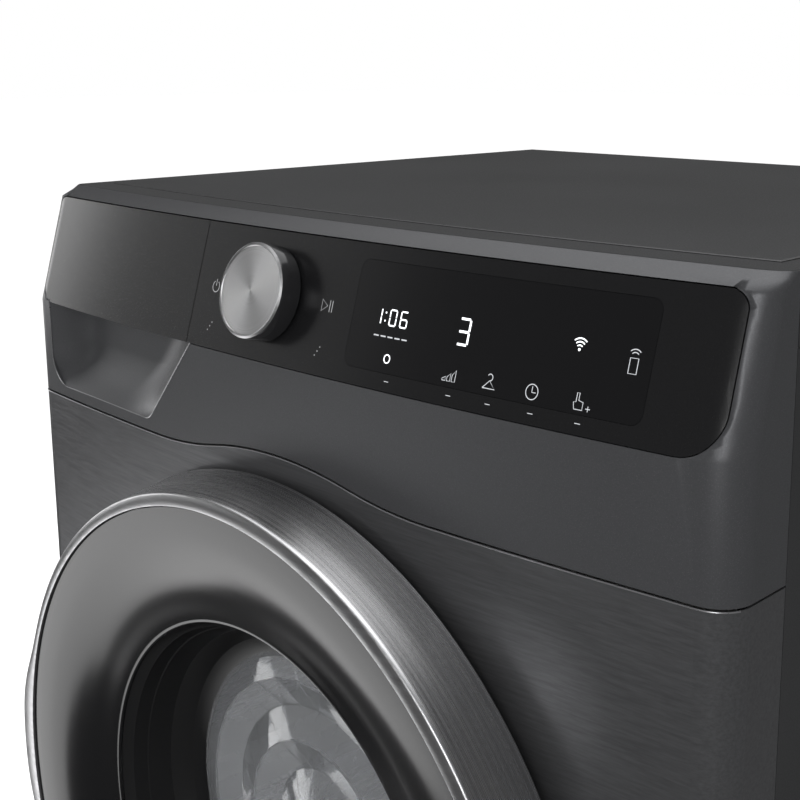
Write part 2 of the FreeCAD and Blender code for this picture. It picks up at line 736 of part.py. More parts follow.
def drum():
    """The steel drum with a perforated back, three lifters inside and its rear shaft."""
    thick, radius = d.drum_sheet, d.drum_radius
    can = lathe("drum_can", [
        (d.drum_mouth, d.drum_front), (radius, d.drum_front), (radius, d.drum_rear),
        (0, d.drum_rear), (0, d.drum_rear - thick), (radius - thick, d.drum_rear - thick),
        (radius - thick, d.drum_front + thick), (d.drum_mouth, d.drum_front + thick),
    ], 0, 0, d.drum_axis)
    holes = []
    for ring, (distance, count) in enumerate(((100, 12), (150, 18), (200, 24))):
        for i in range(count):
            turn = 2 * math.pi * (i + 0.5) / count
            holes.append(rod("vent_%d_%d" % (ring, i), "y", 7, d.drum_rear - 5, d.drum_rear + 5,
                             distance * math.cos(turn), d.drum_axis + distance * math.sin(turn)))
    node("drum_shell", cut("drum_body", can, *holes))

    inside = (d.drum_radius - d.drum_sheet).value - 0.5
    seat = math.sqrt(inside ** 2 - 30.0 ** 2)
    lifters = []
    for turn in (90, 210, 330):
        wire = Part.makePolygon([
            Vector(seat, -190, -30), Vector(seat, -190, 30), Vector(seat - 30, -190, 16),
            Vector(seat - 44, -190, 8), Vector(seat - 44, -190, -8), Vector(seat - 30, -190, -16),
            Vector(seat, -190, -30)])
        prism = Part.Face(wire).extrude(BACK * 430)
        prism.rotate(Vector(), BACK, -turn)
        prism.translate(Vector(0, 0, d.drum_axis.value))
        lifters.append(prism)
    node("drum_lifters", feature("lifters", Part.makeCompound(lifters)))
    node("drum_shaft", lathe("rear_shaft", [
        (0, d.drum_rear), (45, d.drum_rear), (45, d.drum_rear + 4), (d.shaft_radius, d.drum_rear + 4),
        (d.shaft_radius, d.rear_plane - 3), (0, d.rear_plane - 3),
    ], 0, 0, d.drum_axis))
    node("drum_bearing", lathe("bearing", [
        (d.shaft_radius + d.fit_gap, 284), (20, 284), (36, 294), (36, d.rear_plane - 1),
        (d.shaft_radius + d.fit_gap, d.rear_plane - 1),
    ], 0, 0, d.drum_axis))


def roller_places():
    """The two support rollers under the drum's front: (name, x, z)."""
    reach = (d.drum_radius + d.roller_radius + d.air_gap).value
    turn = math.radians(d.roller_angle.value)
    x, z = reach * math.sin(turn), d.drum_axis.value - reach * math.cos(turn)
    return (("left", -x, z), ("right", x, z))


def rollers():
    for name, x, z in roller_places():
        node("roller_" + name, lathe("wheel_" + name, [
            (d.screw_radius + d.fit_gap, -216), (d.roller_radius, -216), (d.roller_radius, -200),
            (d.screw_radius + d.fit_gap, -200),
        ], x, 0, z))


def belt_wire(circles, grow, y):
    """The tight loop around circles (x, z, radius), listed anticlockwise, at one depth."""
    touch = []
    count = len(circles)
    for i in range(count):
        x0, z0, r0 = circles[i]
        x1, z1, r1 = circles[(i + 1) % count]
        span = math.hypot(x1 - x0, z1 - z0)
        heading = math.atan2(z1 - z0, x1 - x0)
        normal = heading - math.acos((r0 - r1) / span)
        touch.append(normal)
    edges = []
    for i in range(count):
        x, z, r = circles[i]
        r += grow
        start, end = touch[i - 1], touch[i]
        while end < start:
            end += 2 * math.pi
        points = [Vector(x + r * math.cos(a), y, z + r * math.sin(a))
                  for a in (start, (start + end) / 2, end)]
        edges.append(Part.Arc(*points).toShape())
        x1, z1, r1 = circles[(i + 1) % count]
        r1 += grow
        edges.append(Part.makeLine(points[2], Vector(
            x1 + r1 * math.cos(end), y, z1 + r1 * math.sin(end))))
    return Part.Wire(edges)


def drive():
    """Motor, its shaft with the belt pulley, blower wheel, belt, and the sprung tensioner."""
    x, z, shaft = d.motor_x, d.motor_z, d.motor_shaft
    low, high = d.belt_middle - d.belt_width / 2, d.belt_middle + d.belt_width / 2
    floor = d.tray_bottom + d.plastic + 0.2
    can = fuse(
        "motor_solid",
        rod("motor_can", "y", d.motor_radius, -60, 70, x, z),
        box("motor_foot", x - 45, x + 45, -50, 60, floor, z - 40),
        box("motor_sill", 100, x, 50, 100, floor, floor + 8),
        box("tension_post", d.pivot_x - 6, d.pivot_x + 6, 94, 100, floor, d.pivot_z + 8),
        rod("tension_pivot", "y", 5, 99, 128, d.pivot_x, d.pivot_z),
        box("spring_post", 155, 161, 94, 128, floor, 58),
    )
    node("motor_housing", cut("motor", can, rod("motor_bore", "y", shaft + d.fit_gap, -70, 80, x, z)))
    node("motor_shaft", lathe("shaft_turned", [
        (0, -155), (shaft, -155), (shaft, low - 1), (d.pulley_radius + 2, low - 1),
        (d.pulley_radius + 2, low), (d.pulley_radius, low), (d.pulley_radius, high),
        (d.pulley_radius + 2, high), (d.pulley_radius + 2, high + 1), (0, high + 1),
    ], x, 0, z))
    disc = lathe("blower_disc", [
        (shaft, -128), (12, -128), (12, -114), (72, -114), (72, -112), (shaft, -112),
    ], x, 0, z)
    blades = []
    for i in range(12):
        blade = doc.addObject("Part::Box", "blade_%d" % i)
        blade.Length, blade.Width, blade.Height = 24, 36, 2
        turn = Rotation(Vector(0, 1, 0), 30.0 * i)
        arm = turn.multVec(Vector(47, 0, 6))
        put(blade, x + arm.x, -149, z + arm.z, turn)
        blades.append(blade)
    node("blower_wheel", fuse("blower_fused", disc, *blades))
    node("blower_housing", lathe("blower_case", [
        (16, -102), (84, -102), (84, -158), (42, -158), (42, -155), (81, -155), (81, -105),
        (16, -105),
    ], x, 0, z))

    idler_x, idler_z = d.idler_x, d.idler_z
    arm_span = math.hypot(idler_x.value - d.pivot_x.value, idler_z.value - d.pivot_z.value)
    tilt = math.degrees(math.atan2(idler_z.value - d.pivot_z.value, idler_x.value - d.pivot_x.value))
    bar = doc.addObject("Part::Box", "arm_bar")
    bar.Length, bar.Width, bar.Height = arm_span + 28, 5, 14
    turn = Rotation(Vector(0, 1, 0), -tilt)
    corner = turn.multVec(Vector(-22, 0, -7))
    put(bar, d.pivot_x + corner.x, 120, d.pivot_z + corner.z, turn)
    arm = fuse(
        "arm_solid", bar,
        rod("arm_boss", "y", 11, 118, 127, d.pivot_x, d.pivot_z),
        rod("idler_axle", "y", 4, 120, high + 1, idler_x, idler_z),
    )
    node("tensioner_arm", cut("arm", arm, rod("arm_bore", "y", 5 + d.fit_gap, 110, 130,
                                              d.pivot_x, d.pivot_z)))
    node("idler_pulley", lathe("idler", [
        (4 + d.fit_gap, low), (d.idler_radius, low), (d.idler_radius, high - 0.5),
        (4 + d.fit_gap, high - 0.5),
    ], idler_x, 0, idler_z))

    circles = [
        (0.0, d.drum_axis.value, d.drum_radius.value),
        (idler_x.value, idler_z.value, d.idler_radius.value),
        (x.value, z.value, d.pulley_radius.value),
    ]
    y = low.value + 0.5
    outer = Part.Face(belt_wire(circles, d.air_gap.value + 3, y))
    inner = Part.Face(belt_wire(circles, d.air_gap.value, y))
    node("drum_belt", feature("belt", outer.cut(inner).extrude(BACK * (d.belt_width.value - 1))))
    node("tension_spring", cut(
        "spring_tube",
        rod("spring_outside", "x", 5, 127, 154.7, 122.5, 52),
        rod("spring_inside", "x", 3.5, 126, 156, 122.5, 52),
    ))


# ---------------------------------------------------------------- heat pump and water


def pipe(points, radius, bend):
    """A round pipe along straight runs joined by tangent arcs."""
    edges = []
    start = points[0]
    for before, corner, after in zip(points, points[1:], points[2:]):
        into = (corner - before).normalize()
        out = (after - corner).normalize()
        half = into.getAngle(out) / 2
        back = bend * math.tan(half)
        first, last = corner - into * back, corner + out * back
        inward = (out - into).normalize()
        middle = corner + inward * (bend / math.cos(half) - bend)
        edges.append(Part.makeLine(start, first))
        edges.append(Part.Arc(first, middle, last).toShape())
        start = last
    edges.append(Part.makeLine(start, points[-1]))
    path = Part.Wire(edges)
    ring = Part.Wire(Part.makeCircle(radius, points[0], points[1] - points[0]))
    return path.makePipeShell([ring], True, True)


def heat_pump():
    """Compressor, the two finned exchangers, their pipes, the service cover and its flap."""
    floor = d.tray_bottom + d.plastic + 0.2
    can = lathe("compressor_can", [
        (0, floor + 4), (52, floor + 4), (60, 34), (60, 210), (50, 228), (28, 238), (0, 240),
    ], -192, 212, 0, upright=True)
    node("compressor", fuse("compressor_solid", can,
                            box("compressor_foot", -254, -130, 150, 274, floor, floor + 5)))
    for name, front, back in (("evaporator", -234, -160), ("condenser", -140, 60)):
        core = box(name + "_core", -248, -116, front + 3, back - 3, floor + 4, 198)
        ends = [box("%s_end_%d" % (name, i), low, low + 3, front, back, floor, 202)
                for i, low in enumerate((-251, -116))]
        slots = [box("%s_gap_%d" % (name, i), -240 + 24 * i, -232 + 24 * i, front - 1, back + 1, 30, 190)
                 for i in range(5)]
        node(name, cut(name + "_fins", fuse(name + "_block", core, *ends), *slots))
    runs = [
        [(-150, 182, 205), (-150, 182, 262), (-150, 100, 262), (-150, 100, 120), (-150, 61, 120)],
        [(-230, -139, 150), (-230, -150, 150), (-230, -159, 150)],
        [(-235, -150, 204), (-235, -150, 232), (-235, 120, 232), (-235, 120, 160), (-235, 153, 160)],
    ]
    first = pipe([Vector(*p) for p in runs[0][1:4]], 4.0, 12.0)
    third = pipe([Vector(*p) for p in runs[2][1:4]], 5.0, 14.0)
    node("refrigerant_pipes", feature("pipes", Part.makeCompound([first, third])))
    node("exchanger_cover", box("service_cover", -256, -112, -258, -252, 62, 196))

    skin = (Part.Face(plan_wire(d.flap_bottom.value, 0.0, 0.0, SEAM)).extrude(UP * 116)).cut(
        Part.Face(plan_wire(d.flap_bottom.value - 1, 0.0, 2.0, SEAM + 2)).extrude(UP * 120))
    skin = skin.common(window(d.flap_left.value, d.flap_right.value, d.flap_bottom.value,
                              d.flap_top.value, 8.0, 8.0))
    pin = Vector(d.flap_right.value - 1.5, FRONT + 5.5, 0)
    boss = Part.makeBox(2.7, 3.2, 100, Vector(pin.x - 1.5, pin.y - 2.0, d.flap_bottom.value + 8))
    post = Part.makeCylinder(1.2, 122, Vector(pin.x, pin.y, d.flap_bottom.value - 3))
    node("service_flap", feature("flap", skin.multiFuse([boss, post])))


def water_parts():
    """The condensate pump with its hose, the tank drawer with its front, and the rear outlets."""
    floor = d.tray_bottom + d.plastic + 0.2
    node("condensate_pump", fuse(
        "pump",
        box("pump_body", 30, 100, 200, 260, floor, 62),
        rod("pump_head", "z", 24, 60, 92, 65, 230),
        rod("pump_outlet", "x", 6, 85, 118, 230, 76),
    ))
    path = [(118.3, 230, 76), (283, 230, 76), (283, 284, 120), (283, 284, 804), (-205, 284, 804),
            (-205, 208, 804)]
    node("drain_hose", feature("hose", pipe([Vector(*p) for p in path], 5.0, 22.0)))

    left, right = d.tank_left, d.tank_right
    low, high = d.tank_bottom, d.tank_top
    tank = cut(
        "tank_shell",
        box("tank_outer", left, right, d.tank_front_face, d.tank_back, low, high),
        box("tank_room", left + 2, right - 2, d.tank_front_face + 2, d.tank_back - 2, low + 2, high - 2),
        rod("tank_filler", "z", 14, high - 5, high + 5, -213, 170),
    )
    node("water_tank", tank)
    outline = window(-d.panel_half.value, -d.drawer_edge.value - GAP, PANEL_LOW, PANEL_HIGH, 21.0, 9.5)
    square_right = Part.makeBox(40, 200, PANEL_HIGH - PANEL_LOW,
                                Vector(-d.drawer_edge.value - GAP - 40, -400, PANEL_LOW))
    skin = front_skin(0.0, d.plastic.value).common(outline.fuse(square_right))
    ribs = [Part.makeBox(6, 40, 20, Vector(x, d.tank_front_face.value - 40, 800)) for x in (-262, -170)]
    inside = front_block(d.plastic.value - 1.0, SEAM + 30, 600.0)
    held = Part.makeCompound([rib.common(inside) for rib in ribs])
    node("tank_front", feature("drawer_front", skin.multiFuse(held.Solids)))
    shelf = low - d.air_gap
    node("tank_housing", cut(
        "housing",
        box("housing_outer", left - 3, right + 3, d.tank_front_face + 2, d.tank_back + 5, shelf - 3, 795),
        box("housing_room", left - 0.5, right + 0.5, d.tank_front_face + 1, d.tank_back + 2, shelf, 796),
    ))
    node("drain_spigot", cut(
        "spigot",
        fuse("spigot_solid", rod("spigot_tube", "y", 9, d.rear_plane, d.rear_plane + 22, 250, 785),
             rod("spigot_flange", "y", 14, d.rear_plane, d.rear_plane + 2, 250, 785)),
        rod("spigot_bore", "y", 6, d.rear_plane - 1, d.rear_plane + 23, 250, 785),
    ))
    node("mains_inlet", cut(
        "inlet",
        fuse("inlet_solid", rod("inlet_body", "y", 10, d.rear_plane, d.rear_plane + 14, -250, 785),
             rod("inlet_flange", "y", 15, d.rear_plane, d.rear_plane + 3, -250, 785)),
        rod("inlet_bore", "y", 4.5, d.rear_plane - 1, d.rear_plane + 15, -250, 785),
    ))


def lint_filter():
    """The two-layer fluff filter, pushed down through its slot below the mouth."""
    body = box("filter_frame", -100, 100, -257, -243, 120, 258)
    dips = [box("filter_dip_%d" % i, -92, 92, y0, y1, 128, 236)
            for i, (y0, y1) in enumerate(((-258, -252), (-248, -242)))]
    node("lint_filter", cut("filter", body, *dips))


# ---------------------------------------------------------------- knob, feet and fasteners

DISPLAY = (58.0, 250.0, TOP - 72.0, TOP - 15.0)


def knob_frame():
    """The place and direction of the knob: on the leaning panel, square to its surface."""
    height = TOP - d.knob_drop.value
    setback = LEAN * (height - PANEL_LOW) / (PANEL_HIGH - PANEL_LOW)
    x = d.knob_x.value
    y = FRONT + setback + BOW * (x / CORNER) ** 2
    lean = math.atan2(LEAN, PANEL_HIGH - PANEL_LOW)
    return Vector(x, y, height), Vector(0, -math.cos(lean), math.sin(lean))


def knob_rod(radius, start, end):
    """A cylinder on the knob's line between two distances in front of the panel."""
    centre, out = knob_frame()
    return Part.makeCylinder(radius, end - start, centre + out * start, out)


def knob():
    """The turned aluminium selector knob and the spindle that carries it through the panel."""
    radius, height = d.knob_radius.value, d.knob_height.value
    centre, out = knob_frame()
    profile = [
        Vector(3, 0, 1.2), Vector(radius, 0, 1.2), Vector(radius, 0, height - 1),
        Vector(radius - 1, 0, height), Vector(0, 0, height), Vector(0, 0, 8), Vector(3, 0, 8),
        Vector(3, 0, 1.2),
    ]
    cap = Part.Face(Part.makePolygon(profile)).revolve(Vector(), UP, 360)
    where = Placement(centre, Rotation(UP, out))
    node("knob_cap", feature("knob_turned", cap, where))
    node("knob_spindle", feature("spindle", Part.makeCylinder(3, 24, Vector(0, 0, -16)), where))


def feet():
    """Four feet that screw up and down in the tray's bosses."""
    for name, x, y in (
        ("foot_front_left", -d.foot_x, d.foot_front),
        ("foot_front_right", d.foot_x, d.foot_front),
        ("foot_rear_left", -d.foot_x, d.foot_rear),
        ("foot_rear_right", d.foot_x, d.foot_rear),
    ):
        node(name, lathe(name + "_turned", [
            (0, 0), (d.foot_radius - 2, 0), (d.foot_radius, 2), (d.foot_radius, 9), (9, 12),
            (d.screw_radius, 12), (d.screw_radius, 44), (0, 44),
        ], x, y, 0, upright=True))


def cabinet_screws():
    """Eight pan-head screws that hold the rear panel."""
    places = [(x, z) for x in (-270, -90, 90, 270) for z in (40, 800)]
    node("cabinet_screws", group("screws", *spread(
        "screw", lambda n, x, z: rod(n, "y", 4.5, d.rear_plane, d.rear_plane + 3, x, z), places)))


BUILDERS = (
    base_tray,
    lambda: side_panel("side_panel_left", -1),
    lambda: side_panel("side_panel_right", 1),
    rear_panel, rear_duct_cover, top_cover, front_panel, fascia, control_panel, control_board,
    front_bulkhead, mouth_seal, drum_felt_rings, door, door_lock, drum, rollers, drive,
    heat_pump, water_parts, lint_filter, knob, feet, cabinet_screws,
)
for build in BUILDERS:
    build()
doc.recompute()

failed = [item.Name for item in doc.Objects if "Invalid" in item.State or "Error" in item.State]
for item in nodes:
    if item.Shape.isNull() or not item.Shape.isValid() or not item.Shape.Solids:
        failed.append(item.Label)
if failed:
    raise RuntimeError("these objects failed: " + ", ".join(failed))

os.makedirs("parts", exist_ok=True)
for item in nodes:
    item.Shape.exportStep("parts/%s.step" % item.Label)
    print("%-20s %2d solids %12.0f mm3" % (item.Label, len(item.Shape.Solids), item.Shape.Volume))
print(len(nodes), "nodes")
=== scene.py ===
import json
import math

import bmesh
import bpy
from mathutils import Matrix, Vector


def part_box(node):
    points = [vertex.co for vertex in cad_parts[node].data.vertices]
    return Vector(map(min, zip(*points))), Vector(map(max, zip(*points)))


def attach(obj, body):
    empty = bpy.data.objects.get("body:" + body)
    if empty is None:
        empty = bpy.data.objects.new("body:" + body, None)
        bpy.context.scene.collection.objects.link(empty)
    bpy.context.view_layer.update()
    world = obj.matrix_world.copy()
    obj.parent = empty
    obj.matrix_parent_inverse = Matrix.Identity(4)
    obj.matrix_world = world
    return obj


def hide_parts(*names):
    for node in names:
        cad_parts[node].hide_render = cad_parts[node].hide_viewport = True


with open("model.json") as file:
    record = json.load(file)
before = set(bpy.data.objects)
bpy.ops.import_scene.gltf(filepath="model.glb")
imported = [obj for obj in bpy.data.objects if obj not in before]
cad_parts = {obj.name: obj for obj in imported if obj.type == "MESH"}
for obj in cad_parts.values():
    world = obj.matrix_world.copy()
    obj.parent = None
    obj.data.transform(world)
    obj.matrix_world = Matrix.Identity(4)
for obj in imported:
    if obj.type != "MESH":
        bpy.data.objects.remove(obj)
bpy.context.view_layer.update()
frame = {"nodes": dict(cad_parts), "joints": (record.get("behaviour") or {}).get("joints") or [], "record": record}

NODES = frame["nodes"]
JOINTS = {joint["name"]: joint for joint in frame["joints"]}

# All lengths are in metres, but for the panel's marks, which are in millimetres.
MM = 0.001

# The front: its foremost line, how far it bows back at the corners, and where they start.
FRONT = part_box("front_panel")[0].y
BOW = 0.013
CORNER = 0.282
BEND = (CORNER ** 2 + BOW ** 2) / (2 * BOW)

# The control panel: its height range, and how far it leans back over it.
PANEL_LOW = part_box("control_panel")[0].z
PANEL_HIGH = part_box("control_panel")[1].z
LEAN = 0.022

# The door: the height of its centre, the rim's outer radius in front and at its foot, the
# rim's foremost and rearmost y, the grip's swelling in metres and its half angle in radians,
# and the bowl's thickness and facets to a turn.
DOOR_Z = 0.456
RIM_RADIUS = 0.240
FOOT_RADIUS = 0.246
RIM_FRONT = -0.323
RIM_REAR = -0.2832
GRIP_RISE = 0.0095
GRIP_HALF_ANGLE = 0.27
GLASS_WALL = 0.0028
GLASS_SECTORS = 28

# The selector knob.
KNOB_RADIUS = 0.0285
KNOB_HEIGHT = 0.016
KNOB_FACE_RADIUS = KNOB_RADIUS - 0.0027
KNOB_SEGMENTS = 128

# The grip hollow in the fascia: its outline, its depth, the width of its curved edge, and
# how far back the fascia is opened for it.
RECESS_LEFT = -0.2745
RECESS_LOW = PANEL_LOW - 0.0595
RECESS_TOP = PANEL_LOW + 0.0005
RECESS_CORNER = -0.136
RECESS_RIGHT = -0.083
RECESS_DEPTH = 0.020
RECESS_BLEND = 0.034
RECESS_BACK = -0.2437

# How far marks stand proud of the panel.
PRINT_RISE = 0.00012

# The camera as fitted to the photograph; its turn and tilt are in radians.
CAMERA_PLACE = (0.5772, -0.7259, 0.9407)
CAMERA_YAW, CAMERA_PITCH = 0.7542, 0.199
CAMERA_SHIFT = (-0.0875, -0.10)
LENS_MM, SENSOR_MM = 57.88, 36.0

# Each soft box: place, the point it faces, width, height and power.
SOFT_BOXES = {
    "left_box": ((-2.2, -0.57, 0.98), (-0.2, -0.28, 0.78), 0.8, 1.1, 7),
    "low_left": ((-0.95, -0.92, 0.03), (-0.1, -0.32, 0.62), 0.62, 0.6, 2.6),
    "fill_left": ((-2.0, -1.7, 1.25), (-0.05, -0.3, 0.75), 0.9, 0.9, 0.9),
    "front_box": ((1.2, -2.0, 1.5), (0.1, -0.3, 0.6), 0.7, 0.9, 16),
    "top_box": ((-0.3, 0.3, 2.6), (0, 0, 0.8), 2.4, 2.4, 26),
}

# The white surround, as it lights matt surfaces and as glossy ones reflect it, and the sun.
WORLD_LIGHT = 1.0
WORLD_IN_GLOSS = 0.1
SUN_POWER = 0.8
SUN_ANGLE = math.radians(60)


# ---------------------------------------------------------------- materials


class Nodes:
    """A material under construction: it adds nodes and links them."""

    def __init__(self, name):
        self.material = bpy.data.materials.new(name)
        self.material.use_nodes = True
        self.tree = self.material.node_tree
        self.shader = self.tree.nodes["Principled BSDF"]
        self.place = self.add("ShaderNodeTexCoord").outputs["Object"]

    def add(self, kind, **values):
        item = self.tree.nodes.new(kind)
        for key, value in values.items():
            if hasattr(item, key):
                setattr(item, key, value)
            else:
                item.inputs[key].default_value = value
        return item

    def link(self, out, into):
        self.tree.links.new(out, into)

    def noise(self, scale, detail, stretch=(1, 1, 1), roughness=0.5):
        item = self.add("ShaderNodeTexNoise", Scale=scale, Detail=detail, Roughness=roughness)
        mapping = self.add("ShaderNodeMapping")
        mapping.inputs["Scale"].default_value = stretch
        self.link(self.place, mapping.inputs["Vector"])
        self.link(mapping.outputs["Vector"], item.inputs["Vector"])
        return item.outputs["Fac"]

    def ramp(self, factor, stops):
        item = self.add("ShaderNodeValToRGB")
        ramp = item.color_ramp
        while len(ramp.elements) < len(stops):
            ramp.elements.new(0.5)
        for element, (at, value) in zip(ramp.elements, stops):
            element.position = at
            colour = value if isinstance(value, tuple) else (value, value, value)
            element.color = (*colour, 1)
        self.link(factor, item.inputs["Fac"])
        return item.outputs["Color"]

    def bump(self, height, distance, strength):
        item = self.add("ShaderNodeBump", Strength=strength, Distance=distance)
        self.link(height, item.inputs["Height"])
        self.link(item.outputs["Normal"], self.shader.inputs["Normal"])

    def set(self, **sockets):
        for key, value in sockets.items():
            self.shader.inputs[key.replace("_", " ")].default_value = value


def shade(colour, factor):
    return tuple(min(1.0, c * factor) for c in colour)


def painted(name, colour, rough, grain, depth, metallic=0.0, coat=0.0, spread=0.12):
    """Paint, moulded plastic or plain metal: a fine grain, and a slow drift in tone."""
    n = Nodes(name)
    fine = n.noise(grain, 2.0)
    slow = n.noise(5.0, 2.0)
    n.link(n.ramp(slow, [(0.3, shade(colour, 1 - spread)), (0.7, shade(colour, 1 + spread))]),
           n.shader.inputs["Base Color"])
    n.link(n.ramp(fine, [(0.3, rough * 0.85), (0.7, min(1.0, rough * 1.15))]),
           n.shader.inputs["Roughness"])
    n.bump(fine, depth, 0.5)
    n.set(Metallic=metallic)
    n.shader.inputs["Coat Weight"].default_value = coat
    n.shader.inputs["Coat Roughness"].default_value = 0.12
    return n.material


def flaked(name, colour, rough):
    """Dark plastic with metal flakes in it: small bright specks under a satin surface."""
    n = Nodes(name)
    cells = n.add("ShaderNodeTexVoronoi", Scale=1300.0)
    n.link(n.place, cells.inputs["Vector"])
    speck = n.ramp(cells.outputs["Distance"], [
        (0.0, shade(colour, 2.6)), (0.16, shade(colour, 1.05)), (1.0, shade(colour, 0.9))])
    n.link(speck, n.shader.inputs["Base Color"])
    fine = n.noise(1500.0, 2.0)
    n.link(n.ramp(fine, [(0.3, rough * 0.9), (0.7, rough * 1.15)]), n.shader.inputs["Roughness"])
    n.bump(fine, 0.00002, 0.4)
    n.set(Metallic=0.55)
    return n.material


def brushed(name, colour, rough, stretch, depth, metallic, spread):
    """Metal brushed along one axis: long fine streaks in tone, gloss and height."""
    n = Nodes(name)
    streak = n.noise(600.0, 4.0, stretch, 0.7)
    broad = n.noise(420.0, 2.0, stretch)
    n.link(n.ramp(streak, [(0.35, shade(colour, 1 - spread)), (0.65, shade(colour, 1 + spread))]),
           n.shader.inputs["Base Color"])
    n.link(n.ramp(broad, [(0.3, rough * 0.85), (0.7, rough * 1.2)]), n.shader.inputs["Roughness"])
    n.bump(streak, depth, 0.45)
    n.set(Metallic=metallic)
    return n.material


def spun_with_painted_fans(name, colour, rough, centre, axis, rings, painted_fan_strength):
    """Metal turned on a lathe: fine rings about an axis, with light and dark fans around it painted in as
    highlight and shade.
    """
    n = Nodes(name)
    shift = n.add("ShaderNodeVectorMath", operation="SUBTRACT")
    n.link(n.place, shift.inputs[0])
    shift.inputs[1].default_value = centre
    split = n.add("ShaderNodeSeparateXYZ")
    n.link(shift.outputs[0], split.inputs[0])
    across, upward, along = ("X", "Z", "Y") if axis == "Y" else ("X", "Y", "Z")

    def calculate(operation, *values):
        item = n.add("ShaderNodeMath", operation=operation)
        for i, value in enumerate(values):
            if isinstance(value, (int, float)):
                item.inputs[i].default_value = value
            else:
                n.link(value, item.inputs[i])
        return item.outputs[0]

    u, v = split.outputs[across], split.outputs[upward]
    squares = calculate("ADD", calculate("MULTIPLY", u, u), calculate("MULTIPLY", v, v))
    radius = calculate("SQRT", squares)
    join = n.add("ShaderNodeCombineXYZ")
    n.link(calculate("MULTIPLY", radius, rings), join.inputs[0])
    n.link(calculate("MULTIPLY", split.outputs[along], rings), join.inputs[1])
    line = n.add("ShaderNodeTexNoise", Scale=1.0, Detail=3.0)
    n.link(join.outputs[0], line.inputs["Vector"])
    # Painted highlight and shade: light and dark fans set by the angle about the axis, added to the rings' tone.
    twice = calculate("MULTIPLY", calculate("ARCTAN2", v, u), 2.0)
    wave = calculate("MULTIPLY", calculate("SINE", calculate("ADD", twice, 0.6)), 0.5)
    fans = calculate("ADD", calculate("MULTIPLY", wave, painted_fan_strength), 0.5)
    fine = calculate("MULTIPLY", calculate("SUBTRACT", line.outputs["Fac"], 0.5), 0.5)
    tone = calculate("ADD", fans, fine)
    n.link(n.ramp(tone, [(0.1, shade(colour, 0.55)), (0.5, colour), (0.9, shade(colour, 1.6))]),
           n.shader.inputs["Base Color"])
    n.link(n.ramp(line.outputs["Fac"], [(0.3, rough * 0.8), (0.7, rough * 1.2)]),
           n.shader.inputs["Roughness"])
    n.bump(line.outputs["Fac"], 0.00003, 0.35)
    tangent = n.add("ShaderNodeTangent", direction_type="RADIAL", axis=axis)
    n.link(tangent.outputs[0], n.shader.inputs["Tangent"])
    n.set(Metallic=1.0, Anisotropic=0.6)
    return n.material


def lamp(name, colour, strength):
    """The glow of a lit mark, or the faint glow of a printed one, which is painted light."""
    n = Nodes(name)
    drift = n.noise(60.0, 1.0)
    glow = n.ramp(drift, [(0.2, shade(colour, 0.92)), (0.8, colour)])
    n.link(glow, n.shader.inputs["Emission Color"])
    n.link(glow, n.shader.inputs["Base Color"])
    n.set(Emission_Strength=strength, Roughness=0.4)
    return n.material


def glass(name, colour, rough, clear):
    """Pressed glass: clear, with a slight drift in tint and gloss."""
    n = Nodes(name)
    drift = n.noise(14.0, 2.0)
    n.link(n.ramp(drift, [(0.2, shade(colour, 0.85)), (0.8, colour)]),
           n.shader.inputs["Base Color"])
    n.link(n.ramp(n.noise(30.0, 2.0), [(0.3, rough), (0.7, rough * 1.6)]),
           n.shader.inputs["Roughness"])
    n.set(Transmission_Weight=clear, IOR=1.5)
    return n.material


def woven(name, colour, pitch, rough=0.9):
    """Felt or mesh: close, wavering ribs in height over a fibrous tone."""
    n = Nodes(name)
    across = n.add("ShaderNodeTexWave", Scale=pitch, Distortion=2.0, wave_type="BANDS")
    n.link(n.place, across.inputs["Vector"])
    fuzz = n.noise(pitch * 3, 3.0)
    n.link(n.ramp(fuzz, [(0.3, shade(colour, 0.7)), (0.7, shade(colour, 1.25))]),
           n.shader.inputs["Base Color"])
    n.bump(across.outputs["Fac"], 0.0003, 0.6)
    n.set(Roughness=rough)
    return n.material


def fins_with_painted_gap_shade(name, colour, pitch):
    """Thin metal fins side by side, with painted shade in the gaps between them."""
    n = Nodes(name)
    fins = n.add("ShaderNodeTexWave", Scale=pitch, wave_type="BANDS", bands_direction="X")
    n.link(n.place, fins.inputs["Vector"])
    # The dark bands between the fins are painted shade.
    n.link(n.ramp(fins.outputs["Fac"], [(0.2, shade(colour, 0.35)), (0.6, colour)]),
           n.shader.inputs["Base Color"])
    n.bump(fins.outputs["Fac"], 0.0006, 0.9)
    n.set(Metallic=1.0, Roughness=0.35)
    return n.material


